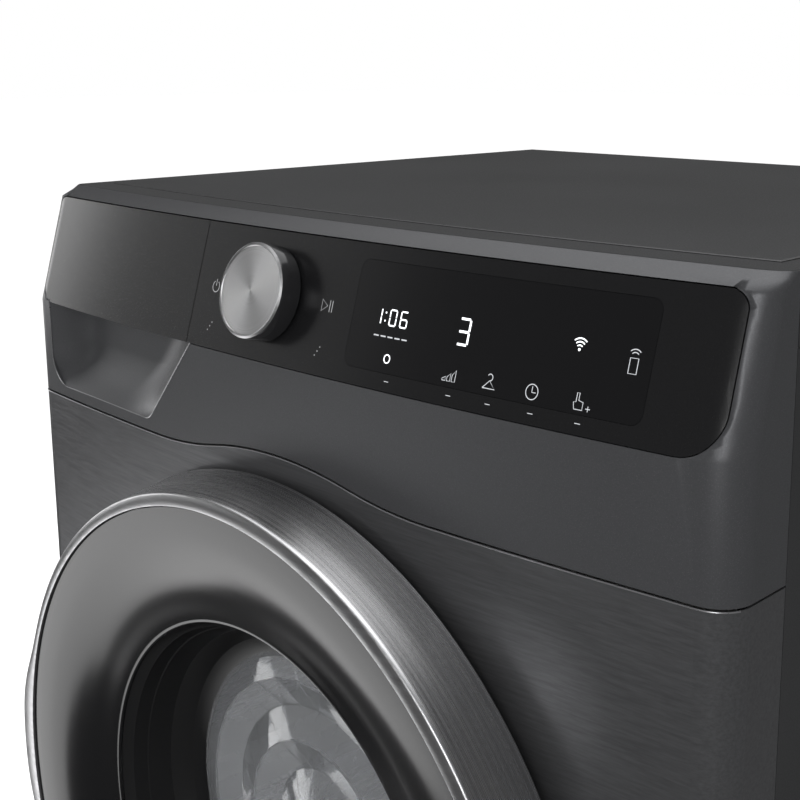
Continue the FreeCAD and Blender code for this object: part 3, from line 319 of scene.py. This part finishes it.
# Each slot of the record: the kind of material, and what that function takes after the name.
RECIPES = {
    "cabinet_paint": (painted, (0.03, 0.0305, 0.032), 0.4, 1100.0, 0.00004, 0.3),
    "front_steel": (brushed, (0.125, 0.126, 0.131), 0.38, (0.012, 1, 1), 0.00003, 0.8, 0.12),
    "fascia_plastic": (flaked, (0.066, 0.067, 0.071), 0.4),
    "panel_gloss": (painted, (0.006, 0.006, 0.0065), 0.24, 1800.0, 0.00001, 0.0, 0.0, 0.05),
    "window_smoke": (painted, (0.004, 0.004, 0.0045), 0.22, 900.0, 0.000002, 0.0, 0.0, 0.05),
    # The rim's wall has faint light and dark fans painted into its colour as painted highlight and shade.
    "ring_metal": (spun_with_painted_fans, (0.5, 0.5, 0.51), 0.27, (0, 0, DOOR_Z), "Y", 1500.0, 0.12),
    "cone_gloss": (painted, (0.004, 0.004, 0.0045), 0.16, 1500.0, 0.0000005, 0.0, 0.0, 0.1),
    "bowl_glass": (glass, (0.85, 0.87, 0.9), 0.03, 0.9),
    "inner_plastic": (painted, (0.02, 0.02, 0.022), 0.45, 1400.0, 0.00005),
    "bulkhead_plastic": (painted, (0.42, 0.42, 0.41), 0.5, 1200.0, 0.00005),
    "seal_rubber": (painted, (0.015, 0.015, 0.015), 0.6, 1500.0, 0.00004),
    "felt": (woven, (0.42, 0.4, 0.35), 500.0),
    "drum_steel": (brushed, (0.6, 0.6, 0.62), 0.28, (1, 0.02, 1), 0.00003, 1.0, 0.08),
    "galvanised": (painted, (0.3, 0.31, 0.32), 0.38, 60.0, 0.00002, 0.85, 0.0, 0.18),
    "zinc_steel": (painted, (0.55, 0.56, 0.57), 0.28, 500.0, 0.00001, 1.0, 0.0, 0.08),
    "tray_plastic": (painted, (0.02, 0.02, 0.021), 0.55, 1100.0, 0.00006),
    "foot_rubber": (painted, (0.012, 0.012, 0.012), 0.7, 1300.0, 0.00006),
    "belt_rubber": (painted, (0.01, 0.01, 0.01), 0.6, 900.0, 0.00005),
    "fin_aluminium": (fins_with_painted_gap_shade, (0.7, 0.71, 0.73), 190.0),
    "black_paint": (painted, (0.012, 0.012, 0.012), 0.3, 700.0, 0.00004, 0.0, 0.2),
    "copper": (painted, (0.62, 0.27, 0.14), 0.25, 300.0, 0.00002, 1.0, 0.0, 0.15),
    "tank_plastic": (painted, (0.55, 0.57, 0.6), 0.32, 900.0, 0.00003),
    "circuit_green": (painted, (0.02, 0.12, 0.045), 0.4, 700.0, 0.00005),
    "filter_plastic": (woven, (0.08, 0.11, 0.15), 900.0, 0.6),
    "wheel_nylon": (painted, (0.66, 0.64, 0.58), 0.45, 900.0, 0.00004),
    "pump_plastic": (painted, (0.03, 0.03, 0.032), 0.5, 1100.0, 0.00005),
    "hose_rubber": (painted, (0.04, 0.04, 0.042), 0.55, 900.0, 0.00005),
}
MATERIALS = {name: recipe[0](name, *recipe[1:]) for name, recipe in RECIPES.items()}
# The knob's face has strong light and dark fans painted into its colour as painted highlight and shade.
KNOB_FACE = spun_with_painted_fans("knob_face", (0.86, 0.86, 0.87), 0.4, (0, 0, 0), "Z", 5200.0, 0.7)
MATERIALS["knob_metal"] = KNOB_FACE
THROAT = painted("throat", (0.006, 0.006, 0.0065), 0.35, 1400.0, 0.00001)
KNOB_SIDE = painted(
    "knob_side", (0.03, 0.03, 0.032), 0.16, 900.0, 0.000005, 0.6, 0.4, 0.05)
EDGE_METAL = brushed(
    "edge_metal", (0.5, 0.5, 0.51), 0.36, (0.02, 1, 1), 0.00001, 1.0, 0.05)
SEAM_METAL = brushed(
    "seam_metal", (0.3, 0.3, 0.31), 0.3, (0.02, 1, 1), 0.00001, 0.8, 0.05)
LIGHT_ON = lamp("lamp_bright", (0.95, 0.97, 1.0), 1.0)
LIGHT_DIM = lamp("lamp_dim", (0.42, 0.43, 0.45), 0.35)
# Printed marks glow faintly with this: painted light on the print's grey.
PRINT_PAINTED_GLOW = lamp("print_painted_glow", (0.3, 0.3, 0.31), 0.2)


def dress():
    """Gives every CAD node the procedural material of its record slot."""
    slots = {part["node"]: part["material_slot"] for part in frame["record"]["subparts"]}
    for name, item in NODES.items():
        item.data.materials.clear()
        item.data.materials.append(MATERIALS[slots[name]])


# ---------------------------------------------------------------- mesh helpers


def new_piece(name, vertices, faces, materials, body, smooth=True, indices=None):
    """Makes a piece from vertices and faces, and lets it ride on a body."""
    mesh = bpy.data.meshes.new(name)
    mesh.from_pydata([tuple(v) for v in vertices], [], faces)
    for material in materials:
        mesh.materials.append(material)
    for i, polygon in enumerate(mesh.polygons):
        polygon.use_smooth = smooth
        if indices:
            polygon.material_index = indices[i]
    mesh.update()
    item = bpy.data.objects.new(name, mesh)
    bpy.context.scene.collection.objects.link(item)
    if smooth:
        split_sharp(item)
    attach(item, body)
    return item


def split_sharp(item, degrees=32.0):
    """Marks edges sharper than an angle, so that smooth shading stops there."""
    data = bmesh.new()
    data.from_mesh(item.data)
    bmesh.ops.recalc_face_normals(data, faces=data.faces)
    for edge in data.edges:
        if len(edge.link_faces) == 2:
            edge.smooth = edge.calc_face_angle(0.0) < math.radians(degrees)
    data.to_mesh(item.data)
    data.free()


def turned(name, profile, materials, bands=None, segments=192, shape=None):
    """A closed profile of (radius, y) turned about the Y line through the door's centre."""
    vertices, faces, indices = [], [], []
    count = len(profile)
    for i in range(segments):
        angle = 2 * math.pi * i / segments
        for radius, y in profile:
            radius = shape(radius, y, angle) if shape else radius
            vertices.append((radius * math.cos(angle), y, DOOR_Z + radius * math.sin(angle)))
    for i in range(segments):
        for j in range(count):
            a, b = i * count, ((i + 1) % segments) * count
            k = (j + 1) % count
            faces.append((a + j, b + j, b + k, a + k))
            indices.append(bands[j] if bands else 0)
    return new_piece(name, vertices, faces, materials, "door", True, indices)


def rounded(points, steps):
    """A smooth curve through (radius, y) points, by Catmull-Rom."""
    out = []
    for i in range(len(points) - 1):
        p = [Vector(points[max(0, min(len(points) - 1, i + k))]) for k in (-1, 0, 1, 2)]
        for s in range(steps):
            t = s / steps
            out.append(tuple(0.5 * ((2 * p[1]) + (p[2] - p[0]) * t
                                    + (2 * p[0] - 5 * p[1] + 4 * p[2] - p[3]) * t * t
                                    + (3 * p[1] - p[0] - 3 * p[2] + p[3]) * t ** 3)))
    out.append(points[-1])
    return out


def tube(name, path, radius):
    """A thin round bead of bright metal on the cabinet, along a path of points."""
    sides = 8
    vertices, faces = [], []
    count = len(path)
    for i, point in enumerate(path):
        before = path[max(0, i - 1)]
        after = path[min(count - 1, i + 1)]
        along = (Vector(after) - Vector(before)).normalized()
        side = along.cross(Vector((0, 1, 0))).normalized()
        up = side.cross(along)
        for j in range(sides):
            turn = 2 * math.pi * j / sides
            offset = radius * (math.cos(turn) * side + math.sin(turn) * up)
            vertices.append(Vector(point) + offset)
    for i in range(count - 1):
        a, b = i * sides, (i + 1) * sides
        for j in range(sides):
            k = (j + 1) % sides
            faces.append((a + j, a + k, b + k, b + j))
    faces.append(tuple(range(sides))[::-1])
    faces.append(tuple((count - 1) * sides + j for j in range(sides)))
    return new_piece(name, vertices, faces, [SEAM_METAL], "cabinet")


def cut_away(item, cutter):
    """Takes a cutter out of a piece, and leaves no modifier on it and no cutter."""
    modifier = item.modifiers.new("cut", "BOOLEAN")
    modifier.object = cutter
    modifier.operation = "DIFFERENCE"
    modifier.solver = "EXACT"
    fix_modifiers(item)
    bpy.data.objects.remove(cutter)


def fix_modifiers(item):
    """Makes a piece's mesh what its modifiers give."""
    graph = bpy.context.evaluated_depsgraph_get()
    mesh = bpy.data.meshes.new_from_object(item.evaluated_get(graph))
    item.modifiers.clear()
    item.data = mesh


# ---------------------------------------------------------------- door


def notched(item, boxes):
    """Cuts boxes out of a piece."""
    for low, high in boxes:
        bpy.ops.mesh.primitive_cube_add(size=1)
        cutter = bpy.context.object
        cutter.scale = [h - l for l, h in zip(low, high)]
        cutter.location = [(h + l) / 2 for l, h in zip(low, high)]
        bpy.context.view_layer.update()
        cut_away(item, cutter)


def grip_bulge(radius, y, angle):
    """The grip: a swelling of the rim at the side away from the hinge."""
    off = abs(math.atan2(math.sin(angle - math.pi), math.cos(angle - math.pi)))
    lobe = math.exp(-((off / GRIP_HALF_ANGLE) ** 4))
    depth = (y - RIM_FRONT) / 0.014
    if radius < RIM_RADIUS - 0.0045 or depth > 1:
        return radius
    return radius + GRIP_RISE * lobe * math.sin(math.pi * (0.25 + 0.75 * depth)) ** 0.8


def door_rim():
    """The metal rim: a polished lip, a turned wall, and two notches for the hinge brackets."""
    ring, base, front, rear = RIM_RADIUS, FOOT_RADIUS, RIM_FRONT, RIM_REAR
    lip = [(ring - 0.0084, front + 0.0016), (ring - 0.0078, front),
           (ring - 0.0070, front - 0.0002), (ring - 0.0016, front + 0.0012),
           (ring - 0.0008, front + 0.0017), (ring - 0.0003, front + 0.0026)]
    wall = [(ring, front + 0.0045), (ring + 0.0008, front + 0.0105),
            (ring + 0.0016, front + 0.015), (ring + 0.003, front + 0.023),
            (base - 0.001, rear - 0.004), (base - 0.0003, rear - 0.001),
            (base - 0.001, rear), (base - 0.003, rear),
            (ring - 0.003, front + 0.006), (ring - 0.008, front + 0.0036)]
    bands = [0] * (len(lip) - 1) + [1] * (len(wall) + 1)
    piece = turned("door_rim", lip + wall, [EDGE_METAL, MATERIALS["ring_metal"]], bands, 256,
                   grip_bulge)
    notched(piece, [((0.205, -0.309, DOOR_Z + low), (0.250, -0.270, DOOR_Z + low + 0.042))
                    for low in (0.037, -0.079)])
    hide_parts("door_ring")


def dish():
    """The black dish between the rim and the porthole, and the throat behind its edge."""
    face = rounded([(0.2312, -0.3214), (0.222, -0.3209), (0.211, -0.3197), (0.200, -0.3174),
                    (0.189, -0.3142), (0.178, -0.3103), (0.168, -0.3064), (0.160, -0.3034),
                    (0.1560, -0.3018)], 5)
    edge = [(0.1546, -0.3016), (0.1537, -0.3008), (0.1535, -0.2996), (0.1540, -0.2984)]
    back = [(0.162, -0.3020), (0.175, -0.3086), (0.190, -0.3136), (0.210, -0.3168),
            (0.2310, -0.3188)]
    piece = turned("door_dish", face + edge + back, [MATERIALS["cone_gloss"]])
    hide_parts("door_cone")
    throat = turned("porthole_throat", [
        (0.1538, -0.2992), (0.1526, -0.2975), (0.1500, -0.2935), (0.1492, -0.2930),
        (0.1462, -0.2840), (0.1454, -0.2835), (0.1400, -0.2690), (0.1392, -0.2685),
        (0.1310, -0.2570), (0.1220, -0.2535), (0.1170, -0.2532), (0.1168, -0.2522),
        (0.1230, -0.2526), (0.1318, -0.2560), (0.1402, -0.2676), (0.1466, -0.2826),
        (0.1530, -0.2955), (0.1540, -0.2985)], [THROAT])


def bowl():
    """The moulded bowl: a smooth flange and wall, and a floor cut into flat facets."""
    sectors = GLASS_SECTORS
    rings = [(0.1655, -0.2985), (0.1560, -0.2970), (0.152, -0.285), (0.146, -0.268),
             (0.128, -0.2515), (0.104, -0.2575), (0.084, -0.2500), (0.063, -0.2565),
             (0.042, -0.2490), (0.021, -0.2560)]
    vertices, faces = [], []
    for k, (radius, y) in enumerate(rings):
        for i in range(sectors):
            angle = 2 * math.pi * (i + 0.5 * (k % 2)) / sectors
            vertices.append((radius * math.cos(angle), y, DOOR_Z + radius * math.sin(angle)))
    for k in range(len(rings) - 1):
        for i in range(sectors):
            a, b = k * sectors, (k + 1) * sectors
            j = (i + 1) % sectors
            if k % 2 == 0:
                faces += [(a + i, b + i, a + j), (a + j, b + i, b + j)]
            else:
                faces += [(a + i, b + i, b + j), (a + i, b + j, a + j)]
    vertices.append((0, -0.2500, DOOR_Z))
    last = (len(rings) - 1) * sectors
    faces += [(last + i, len(vertices) - 1, last + (i + 1) % sectors) for i in range(sectors)]
    piece = new_piece("glass_bowl", vertices, faces, [MATERIALS["bowl_glass"]], "door", False)
    solid = piece.modifiers.new("wall", "SOLIDIFY")
    solid.thickness = GLASS_WALL
    solid.offset = 1.0
    fix_modifiers(piece)
    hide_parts("door_glass")


# ---------------------------------------------------------------- knob


def knob():
    """The selector knob in its own frame, whose +Z is the spindle's line."""
    radius, height, inner = KNOB_RADIUS, KNOB_HEIGHT, KNOB_FACE_RADIUS
    side = [(0.0, 0.0079), (0.003, 0.0079), (0.003, 0.0013), (radius - 0.0008, 0.0013),
            (radius, 0.0021), (radius, height - 0.0016)]
    chamfer = [(radius - 0.0004, height - 0.0008), (radius - 0.0016, height),
               (radius - 0.0022, height - 0.0001), (inner, height - 0.0005)]
    face = [(inner * k / 10, height - 0.0005 - 0.0002 * (1 - (k / 10) ** 2))
            for k in range(9, -1, -1)]
    rows = side + chamfer + face
    bands = [1] * len(side) + [2] * (len(chamfer) - 1) + [0] * len(face)
    vertices, faces, indices = [], [], []
    for i in range(KNOB_SEGMENTS):
        turn = 2 * math.pi * i / KNOB_SEGMENTS
        for r, z in rows:
            vertices.append((r * math.cos(turn), r * math.sin(turn), z))
    count = len(rows)
    for i in range(KNOB_SEGMENTS):
        a, b = i * count, ((i + 1) % KNOB_SEGMENTS) * count
        for j in range(count - 1):
            faces.append((a + j, b + j, b + j + 1, a + j + 1))
            indices.append(bands[j])
    item = new_piece("selector_knob", vertices, faces, [KNOB_FACE, KNOB_SIDE, EDGE_METAL],
                     "knob", True, indices)
    data = bmesh.new()
    data.from_mesh(item.data)
    bmesh.ops.remove_doubles(data, verts=data.verts, dist=1e-7)
    data.to_mesh(item.data)
    data.free()
    split_sharp(item, 28.0)
    joint = JOINTS["knob_turn"]
    turn = Vector(joint["axis"]).to_track_quat("Z", "Y").to_matrix().to_4x4()
    item.matrix_world = Matrix.Translation(Vector(joint["pos_m"])) @ turn
    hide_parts("knob_cap")


# ---------------------------------------------------------------- panel marks


def surface(x, z, proud=0.0):
    """A point on the bowed, leaning front, some way proud of it; x and z in metres."""
    part = min(1.0, max(0.0, (z - PANEL_LOW) / (PANEL_HIGH - PANEL_LOW)))
    y = FRONT + BEND - math.sqrt(BEND ** 2 - x ** 2) + LEAN * part
    return Vector((x, y - proud, z + 0.3 * proud * (part > 0)))


class Marks:
    """Flat strokes on the panel, in millimetres of x and z, gathered into one piece."""

    def __init__(self):
        self.vertices, self.faces = [], []

    def stroke(self, points, width, closed=False):
        points = [Vector(point) for point in points]
        count = len(points)
        first = len(self.vertices)
        for i, point in enumerate(points):
            before = points[i - 1] if (i or closed) else point
            after = points[(i + 1) % count] if (i < count - 1 or closed) else point
            along = after - before
            along = along.normalized() if along.length else Vector((1, 0))
            side = Vector((-along.y, along.x)) * width / 2
            for end in (point + side, point - side):
                self.vertices.append(surface(end.x * MM, end.y * MM, PRINT_RISE))
        for i in range(count if closed else count - 1):
            a, b = first + 2 * i, first + 2 * ((i + 1) % count)
            self.faces.append((a, a + 1, b + 1, b))

    def arc(self, x, z, radius, start, end, width, steps=24):
        turns = [math.radians(start + (end - start) * i / steps) for i in range(steps + 1)]
        points = [(x + radius * math.cos(t), z + radius * math.sin(t)) for t in turns]
        if abs(end - start) >= 360:
            self.stroke(points[:-1], width, True)
        else:
            self.stroke(points, width)

    def dot(self, x, z, radius):
        self.arc(x, z, radius / 2, 0, 360, radius, 12)

    def digit(self, value, x, z, wide, high, width):
        """A numeral drawn as seven bars."""
        half = high / 2
        bars = {
            "a": ((0, high), (wide, high)), "b": ((wide, high), (wide, half)),
            "c": ((wide, half), (wide, 0)), "d": ((0, 0), (wide, 0)),
            "e": ((0, half), (0, 0)), "f": ((0, high), (0, half)),
            "g": ((0, half), (wide, half)),
        }
        used = {"0": "abcdef", "1": "bc", "3": "abgcd", "6": "afgedc"}[value]
        for key in used:
            (x0, z0), (x1, z1) = bars[key]
            trim = width * 0.35
            dx, dz = (trim, 0) if x0 != x1 else (0, trim)
            if z1 < z0:
                dz = -dz
            self.stroke([(x + x0 + dx, z + z0 + dz), (x + x1 - dx, z + z1 - dz)], width)

    def finish(self, name, material):
        piece = new_piece(name, self.vertices, self.faces, [material], "cabinet", False)


def marks():
    """The display's time, numeral and symbols, and the printed symbols by the knob, which glow faintly as painted
    light.
    """
    bright = Marks()
    for value, x in (("1", 75.5), ("0", 86.5), ("6", 94.5)):
        bright.digit(value, x, 802.6, 4.6, 8.0, 0.75)
    bright.dot(83.2, 808.8, 0.5)
    bright.dot(83.2, 804.6, 0.5)
    bright.digit("3", 135.6, 799.8, 6.8, 12.6, 1.15)
    bright.arc(90.1, 785.6, 2.1, 0, 360, 0.6)
    for radius in (2.0, 3.6, 5.2):
        bright.arc(209.8, 807.2, radius, 48, 132, 0.6)
    bright.dot(209.8, 807.2, 0.7)
    bright.finish("display_lit", LIGHT_ON)

    dim = Marks()
    for i in range(5):
        dim.stroke([(77.0 + 5.2 * i, 796.6), (80.8 + 5.2 * i, 796.6)], 0.7)
    for left, tall in ((130.6, 2.0), (133.8, 3.8), (137.0, 5.8)):
        dim.stroke([(left, 781.2), (left + 2.2, 781.2), (left + 2.2, 781.2 + tall),
                    (left, 780.8 + 0.62 * tall)], 0.4, True)
    dim.stroke([(157.4, 781.6), (165.2, 781.6), (161.3, 785.4), (157.4, 781.6)], 0.45)
    dim.arc(161.3, 787.0, 1.6, -90, 150, 0.45)
    dim.arc(187.7, 784.2, 3.6, 0, 360, 0.45)
    dim.stroke([(187.7, 786.8), (187.7, 784.0), (190.0, 784.0)], 0.45)
    dim.stroke([(213.0, 780.4), (212.2, 783.6), (213.6, 783.8), (213.6, 788.0),
                (215.0, 788.0), (215.0, 784.6), (217.6, 784.0), (217.6, 780.4)], 0.4, True)
    dim.stroke([(219.4, 781.4), (222.0, 781.4)], 0.4)
    dim.stroke([(220.7, 780.1), (220.7, 782.7)], 0.4)
    dim.stroke([(238.0, 800.4), (242.4, 800.4), (242.4, 807.4), (238.0, 807.4)], 0.45, True)
    for radius in (2.4, 3.8):
        dim.arc(240.2, 807.6, radius, 45, 135, 0.45)
    for x in (92.8, 136.8, 162.6, 189.0, 216.6):
        dim.stroke([(x - 1.6, 776.8 - 2.6), (x + 1.6, 776.8 - 2.6)], 0.35)
    dim.finish("display_dim", LIGHT_DIM)

    # Printed symbols by the knob: real print, given a faint painted glow.
    grey = Marks()
    grey.arc(-67.5, 805.2, 3.3, -240, 60, 0.5)
    grey.stroke([(-67.5, 805.6), (-67.5, 809.6)], 0.5)
    grey.stroke([(32.2, 803.4), (32.2, 809.8), (37.0, 806.6)], 0.5, True)
    for x in (38.8, 40.8):
        grey.stroke([(x, 803.4), (x, 809.8)], 0.5)
    for x in (-66.1, 35.6):
        for k in range(3):
            grey.dot(x + 1.6 * (k - 1), 781.8 + 2.4 * (k - 1), 0.42)
    grey.finish("panel_print_painted_glow", PRINT_PAINTED_GLOW)


# ---------------------------------------------------------------- fine trim on the cabinet


def front_panel_at(x, z):
    """Where a line along +Y first meets the front panel."""
    hit, place, _, _ = NODES["front_panel"].ray_cast(Vector((x, -0.5, z)), Vector((0, 1, 0)))
    return place if hit else None


def seam_bead():
    """The bright chamfer along the front panel's wavy top edge."""
    steps, half, drop = 240, 0.2985, 0.0004
    path = []
    for i in range(steps + 1):
        x = -half + 2 * half * i / steps
        low, high = 0.690, 0.722
        for _ in range(14):
            middle = (low + high) / 2
            if front_panel_at(x, middle):
                low = middle
            else:
                high = middle
        place = front_panel_at(x, low - drop)
        if place:
            path.append(Vector((x, place.y - 0.00005, low - drop)))
    piece = tube("front_edge_bead", path, 0.00042)


def recess_outline():
    """The hollow's left, lower and slanted edges on the front, with its two rounded corners."""
    corners = [((RECESS_LEFT, RECESS_TOP), 0), ((RECESS_LEFT, RECESS_LOW), 0.022),
               ((RECESS_CORNER, RECESS_LOW), 0.012), ((RECESS_RIGHT, RECESS_TOP), 0)]
    points = []
    for i, (corner, radius) in enumerate(corners):
        here = Vector(corner)
        if not radius:
            points.append(here)
            continue
        before = (Vector(corners[i - 1][0]) - here).normalized()
        after = (Vector(corners[i + 1][0]) - here).normalized()
        half = math.acos(before.dot(after)) / 2
        reach = radius / math.tan(half)
        centre = here + (before + after).normalized() * radius / math.sin(half)
        start = here + before * reach - centre
        end = here + after * reach - centre
        sweep = start.angle_signed(end)
        for k in range(13):
            turn = -sweep * k / 12
            points.append(centre + Vector((
                start.x * math.cos(turn) - start.y * math.sin(turn),
                start.x * math.sin(turn) + start.y * math.cos(turn))))
    return points


def front_normals(mesh):
    """Gives every corner on the bowed front its true normal, so that long faces shade evenly."""
    normals = [Vector(corner.vector) for corner in mesh.corner_normals]
    for polygon in mesh.polygons:
        for loop in polygon.loop_indices:
            spot = mesh.vertices[mesh.loops[loop].vertex_index].co
            if spot.z > PANEL_LOW or abs(spot.x) > CORNER - 0.03:
                continue
            true = Vector((spot.x, spot.y - (FRONT + BEND), 0)).normalized()
            on_front = abs(spot.y - surface(spot.x, spot.z).y) < 0.0006
            if on_front and polygon.normal.dot(true) > 0.93:
                normals[loop] = true
    mesh.normals_split_custom_set(normals)


def carve_fascia(outline):
    """Opens a copy of the CAD fascia along the hollow's outline."""
    count = len(outline)
    vertices = [(p.x, y, p.y) for y in (-0.31, RECESS_BACK) for p in outline]
    faces = [(i, (i + 1) % count, count + (i + 1) % count, count + i) for i in range(count)]
    faces += [tuple(range(count))[::-1], tuple(range(count, 2 * count))]
    mesh = bpy.data.meshes.new("cut")
    mesh.from_pydata(vertices, [], faces)
    data = bmesh.new()
    data.from_mesh(mesh)
    bmesh.ops.recalc_face_normals(data, faces=data.faces)
    data.to_mesh(mesh)
    data.free()
    cutter = bpy.data.objects.new("cut", mesh)
    bpy.context.scene.collection.objects.link(cutter)
    item = bpy.data.objects.new("fascia_skin", NODES["fascia"].data.copy())
    bpy.context.scene.collection.objects.link(item)
    cut_away(item, cutter)
    front_normals(item.data)
    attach(item, "cabinet")
    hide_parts("fascia")


def fall(distance):
    """How much of its depth the hollow has at a distance in from an edge: 0 to 1."""
    left = 1 - min(1.0, max(0.0, distance / RECESS_BLEND))
    return 1 - left * left


def grip_recess():
    """The opened fascia, with the smooth hollow and its bright edge in it."""
    outline = recess_outline()
    carve_fascia(outline)
    columns, rows = 84, 44
    vertices, faces = [], []
    slant = (RECESS_RIGHT - RECESS_CORNER) / (RECESS_TOP - RECESS_LOW)
    for row in range(rows + 1):
        z = RECESS_LOW + (PANEL_LOW + 0.002 - RECESS_LOW) * row / rows
        right = RECESS_CORNER + (z - RECESS_LOW) * slant
        for column in range(columns + 1):
            x = RECESS_LEFT + (right - RECESS_LEFT) * column / columns
            inward = fall(x - RECESS_LEFT) * fall((right - x) * 0.7) * fall(z - RECESS_LOW)
            front = surface(x, min(z, PANEL_LOW)).y
            vertices.append((x, front + 0.0002 + RECESS_DEPTH * inward, z))
    for row in range(rows):
        for column in range(columns):
            a = row * (columns + 1) + column
            faces.append((a, a + 1, a + columns + 2, a + columns + 1))
    hollow = new_piece("grip_hollow", vertices, faces, [MATERIALS["fascia_plastic"]], "cabinet")
    bead = tube("grip_edge_bead", [surface(p.x, min(p.y, PANEL_LOW)) for p in outline], 0.0004)


def lid_step():
    """The shallow raised field on the lid, with a rolled edge all round."""
    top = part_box("top_cover")[1].z
    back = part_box("top_cover")[1].y - 0.020
    front = FRONT + 0.062
    half, radius = 0.282, 0.012
    outline = []
    for x, y, start in ((half - radius, back - radius, 0), (-half + radius, back - radius, 90)):
        for degrees in range(start, start + 91, 10):
            turn = math.radians(degrees)
            outline.append((x + radius * math.cos(turn), y + radius * math.sin(turn)))
    for i in range(41):
        x = -half + 2 * half * i / 40
        outline.append((x, front + BEND - math.sqrt(BEND ** 2 - x ** 2)))
    count = len(outline)
    rolled = [(0.0, -0.0002), (0.0, 0.00035), (0.0006, 0.0007), (0.0014, 0.0008)]
    vertices, faces = [], []
    for inset, rise in rolled:
        for x, y in outline:
            inward = inset if y > 0.03 else -inset
            vertices.append((x * (1 - inset / half), y - inward, top + rise))
    for k in range(len(rolled) - 1):
        a, b = k * count, (k + 1) * count
        for i in range(count):
            j = (i + 1) % count
            faces.append((a + i, a + j, b + j, b + i))
    faces.append(tuple((len(rolled) - 1) * count + i for i in range(count)))
    piece = new_piece("lid_field", vertices, faces, [MATERIALS["cabinet_paint"]], "cabinet")


# ---------------------------------------------------------------- stage


def soft_box(name, place, target, width, height, power):
    """A rectangular light that faces a point and isn't seen itself."""
    data = bpy.data.lights.new(name, "AREA")
    data.shape = "RECTANGLE"
    data.size = width
    data.size_y = height
    data.energy = power
    item = bpy.data.objects.new(name, data)
    bpy.context.scene.collection.objects.link(item)
    item.location = place
    toward = Vector(target) - Vector(place)
    item.rotation_euler = toward.to_track_quat("-Z", "Y").to_euler()
    item.visible_camera = False


def floor():
    """A plain pale floor."""
    n = Nodes("studio_floor")
    n.link(n.ramp(n.noise(1.5, 2.0), [(0.3, 0.9), (0.7, 0.93)]), n.shader.inputs["Base Color"])
    n.set(Roughness=0.8)
    bpy.ops.mesh.primitive_plane_add(size=60)
    plane = bpy.context.object
    plane.name = "studio_floor"
    plane.data.materials.append(n.material)
    plane.visible_glossy = False


def lights():
    """A white surround that is dim in glossy reflections, soft boxes, and a soft sun."""
    world = bpy.data.worlds.new("studio")
    bpy.context.scene.world = world
    world.use_nodes = True
    tree = world.node_tree
    background = tree.nodes["Background"]
    path = tree.nodes.new("ShaderNodeLightPath")
    pick = tree.nodes.new("ShaderNodeMix")
    pick.data_type = "FLOAT"
    pick.inputs["A"].default_value = WORLD_LIGHT
    pick.inputs["B"].default_value = WORLD_IN_GLOSS
    tree.links.new(path.outputs["Is Glossy Ray"], pick.inputs["Factor"])
    tree.links.new(pick.outputs["Result"], background.inputs["Strength"])
    background.inputs["Color"].default_value = (1, 1, 1, 1)
    for name, values in SOFT_BOXES.items():
        soft_box(name, *values)
    sun = bpy.data.lights.new("overhead", "SUN")
    sun.energy = SUN_POWER
    sun.angle = SUN_ANGLE
    bpy.context.scene.collection.objects.link(bpy.data.objects.new("overhead", sun))
    bpy.context.scene.view_settings.view_transform = "Standard"


def camera():
    """The camera, from its place, its turn to the left and its tilt down."""
    data = bpy.data.cameras.new("camera")
    data.lens = LENS_MM
    data.sensor_width = SENSOR_MM
    data.shift_x, data.shift_y = CAMERA_SHIFT
    item = bpy.data.objects.new("camera", data)
    bpy.context.scene.collection.objects.link(item)
    level = math.cos(CAMERA_PITCH)
    forward = Vector((-math.sin(CAMERA_YAW) * level, math.cos(CAMERA_YAW) * level,
                      -math.sin(CAMERA_PITCH)))
    right = Vector((math.cos(CAMERA_YAW), math.sin(CAMERA_YAW), 0))
    up = right.cross(forward)
    rows = [(right[i], up[i], -forward[i], CAMERA_PLACE[i]) for i in range(3)]
    item.matrix_world = Matrix((*rows, (0, 0, 0, 1)))
    bpy.context.scene.camera = item


dress()
door_rim()
dish()
bowl()
knob()
marks()
seam_bead()
grip_recess()
lid_step()
floor()
lights()
camera()
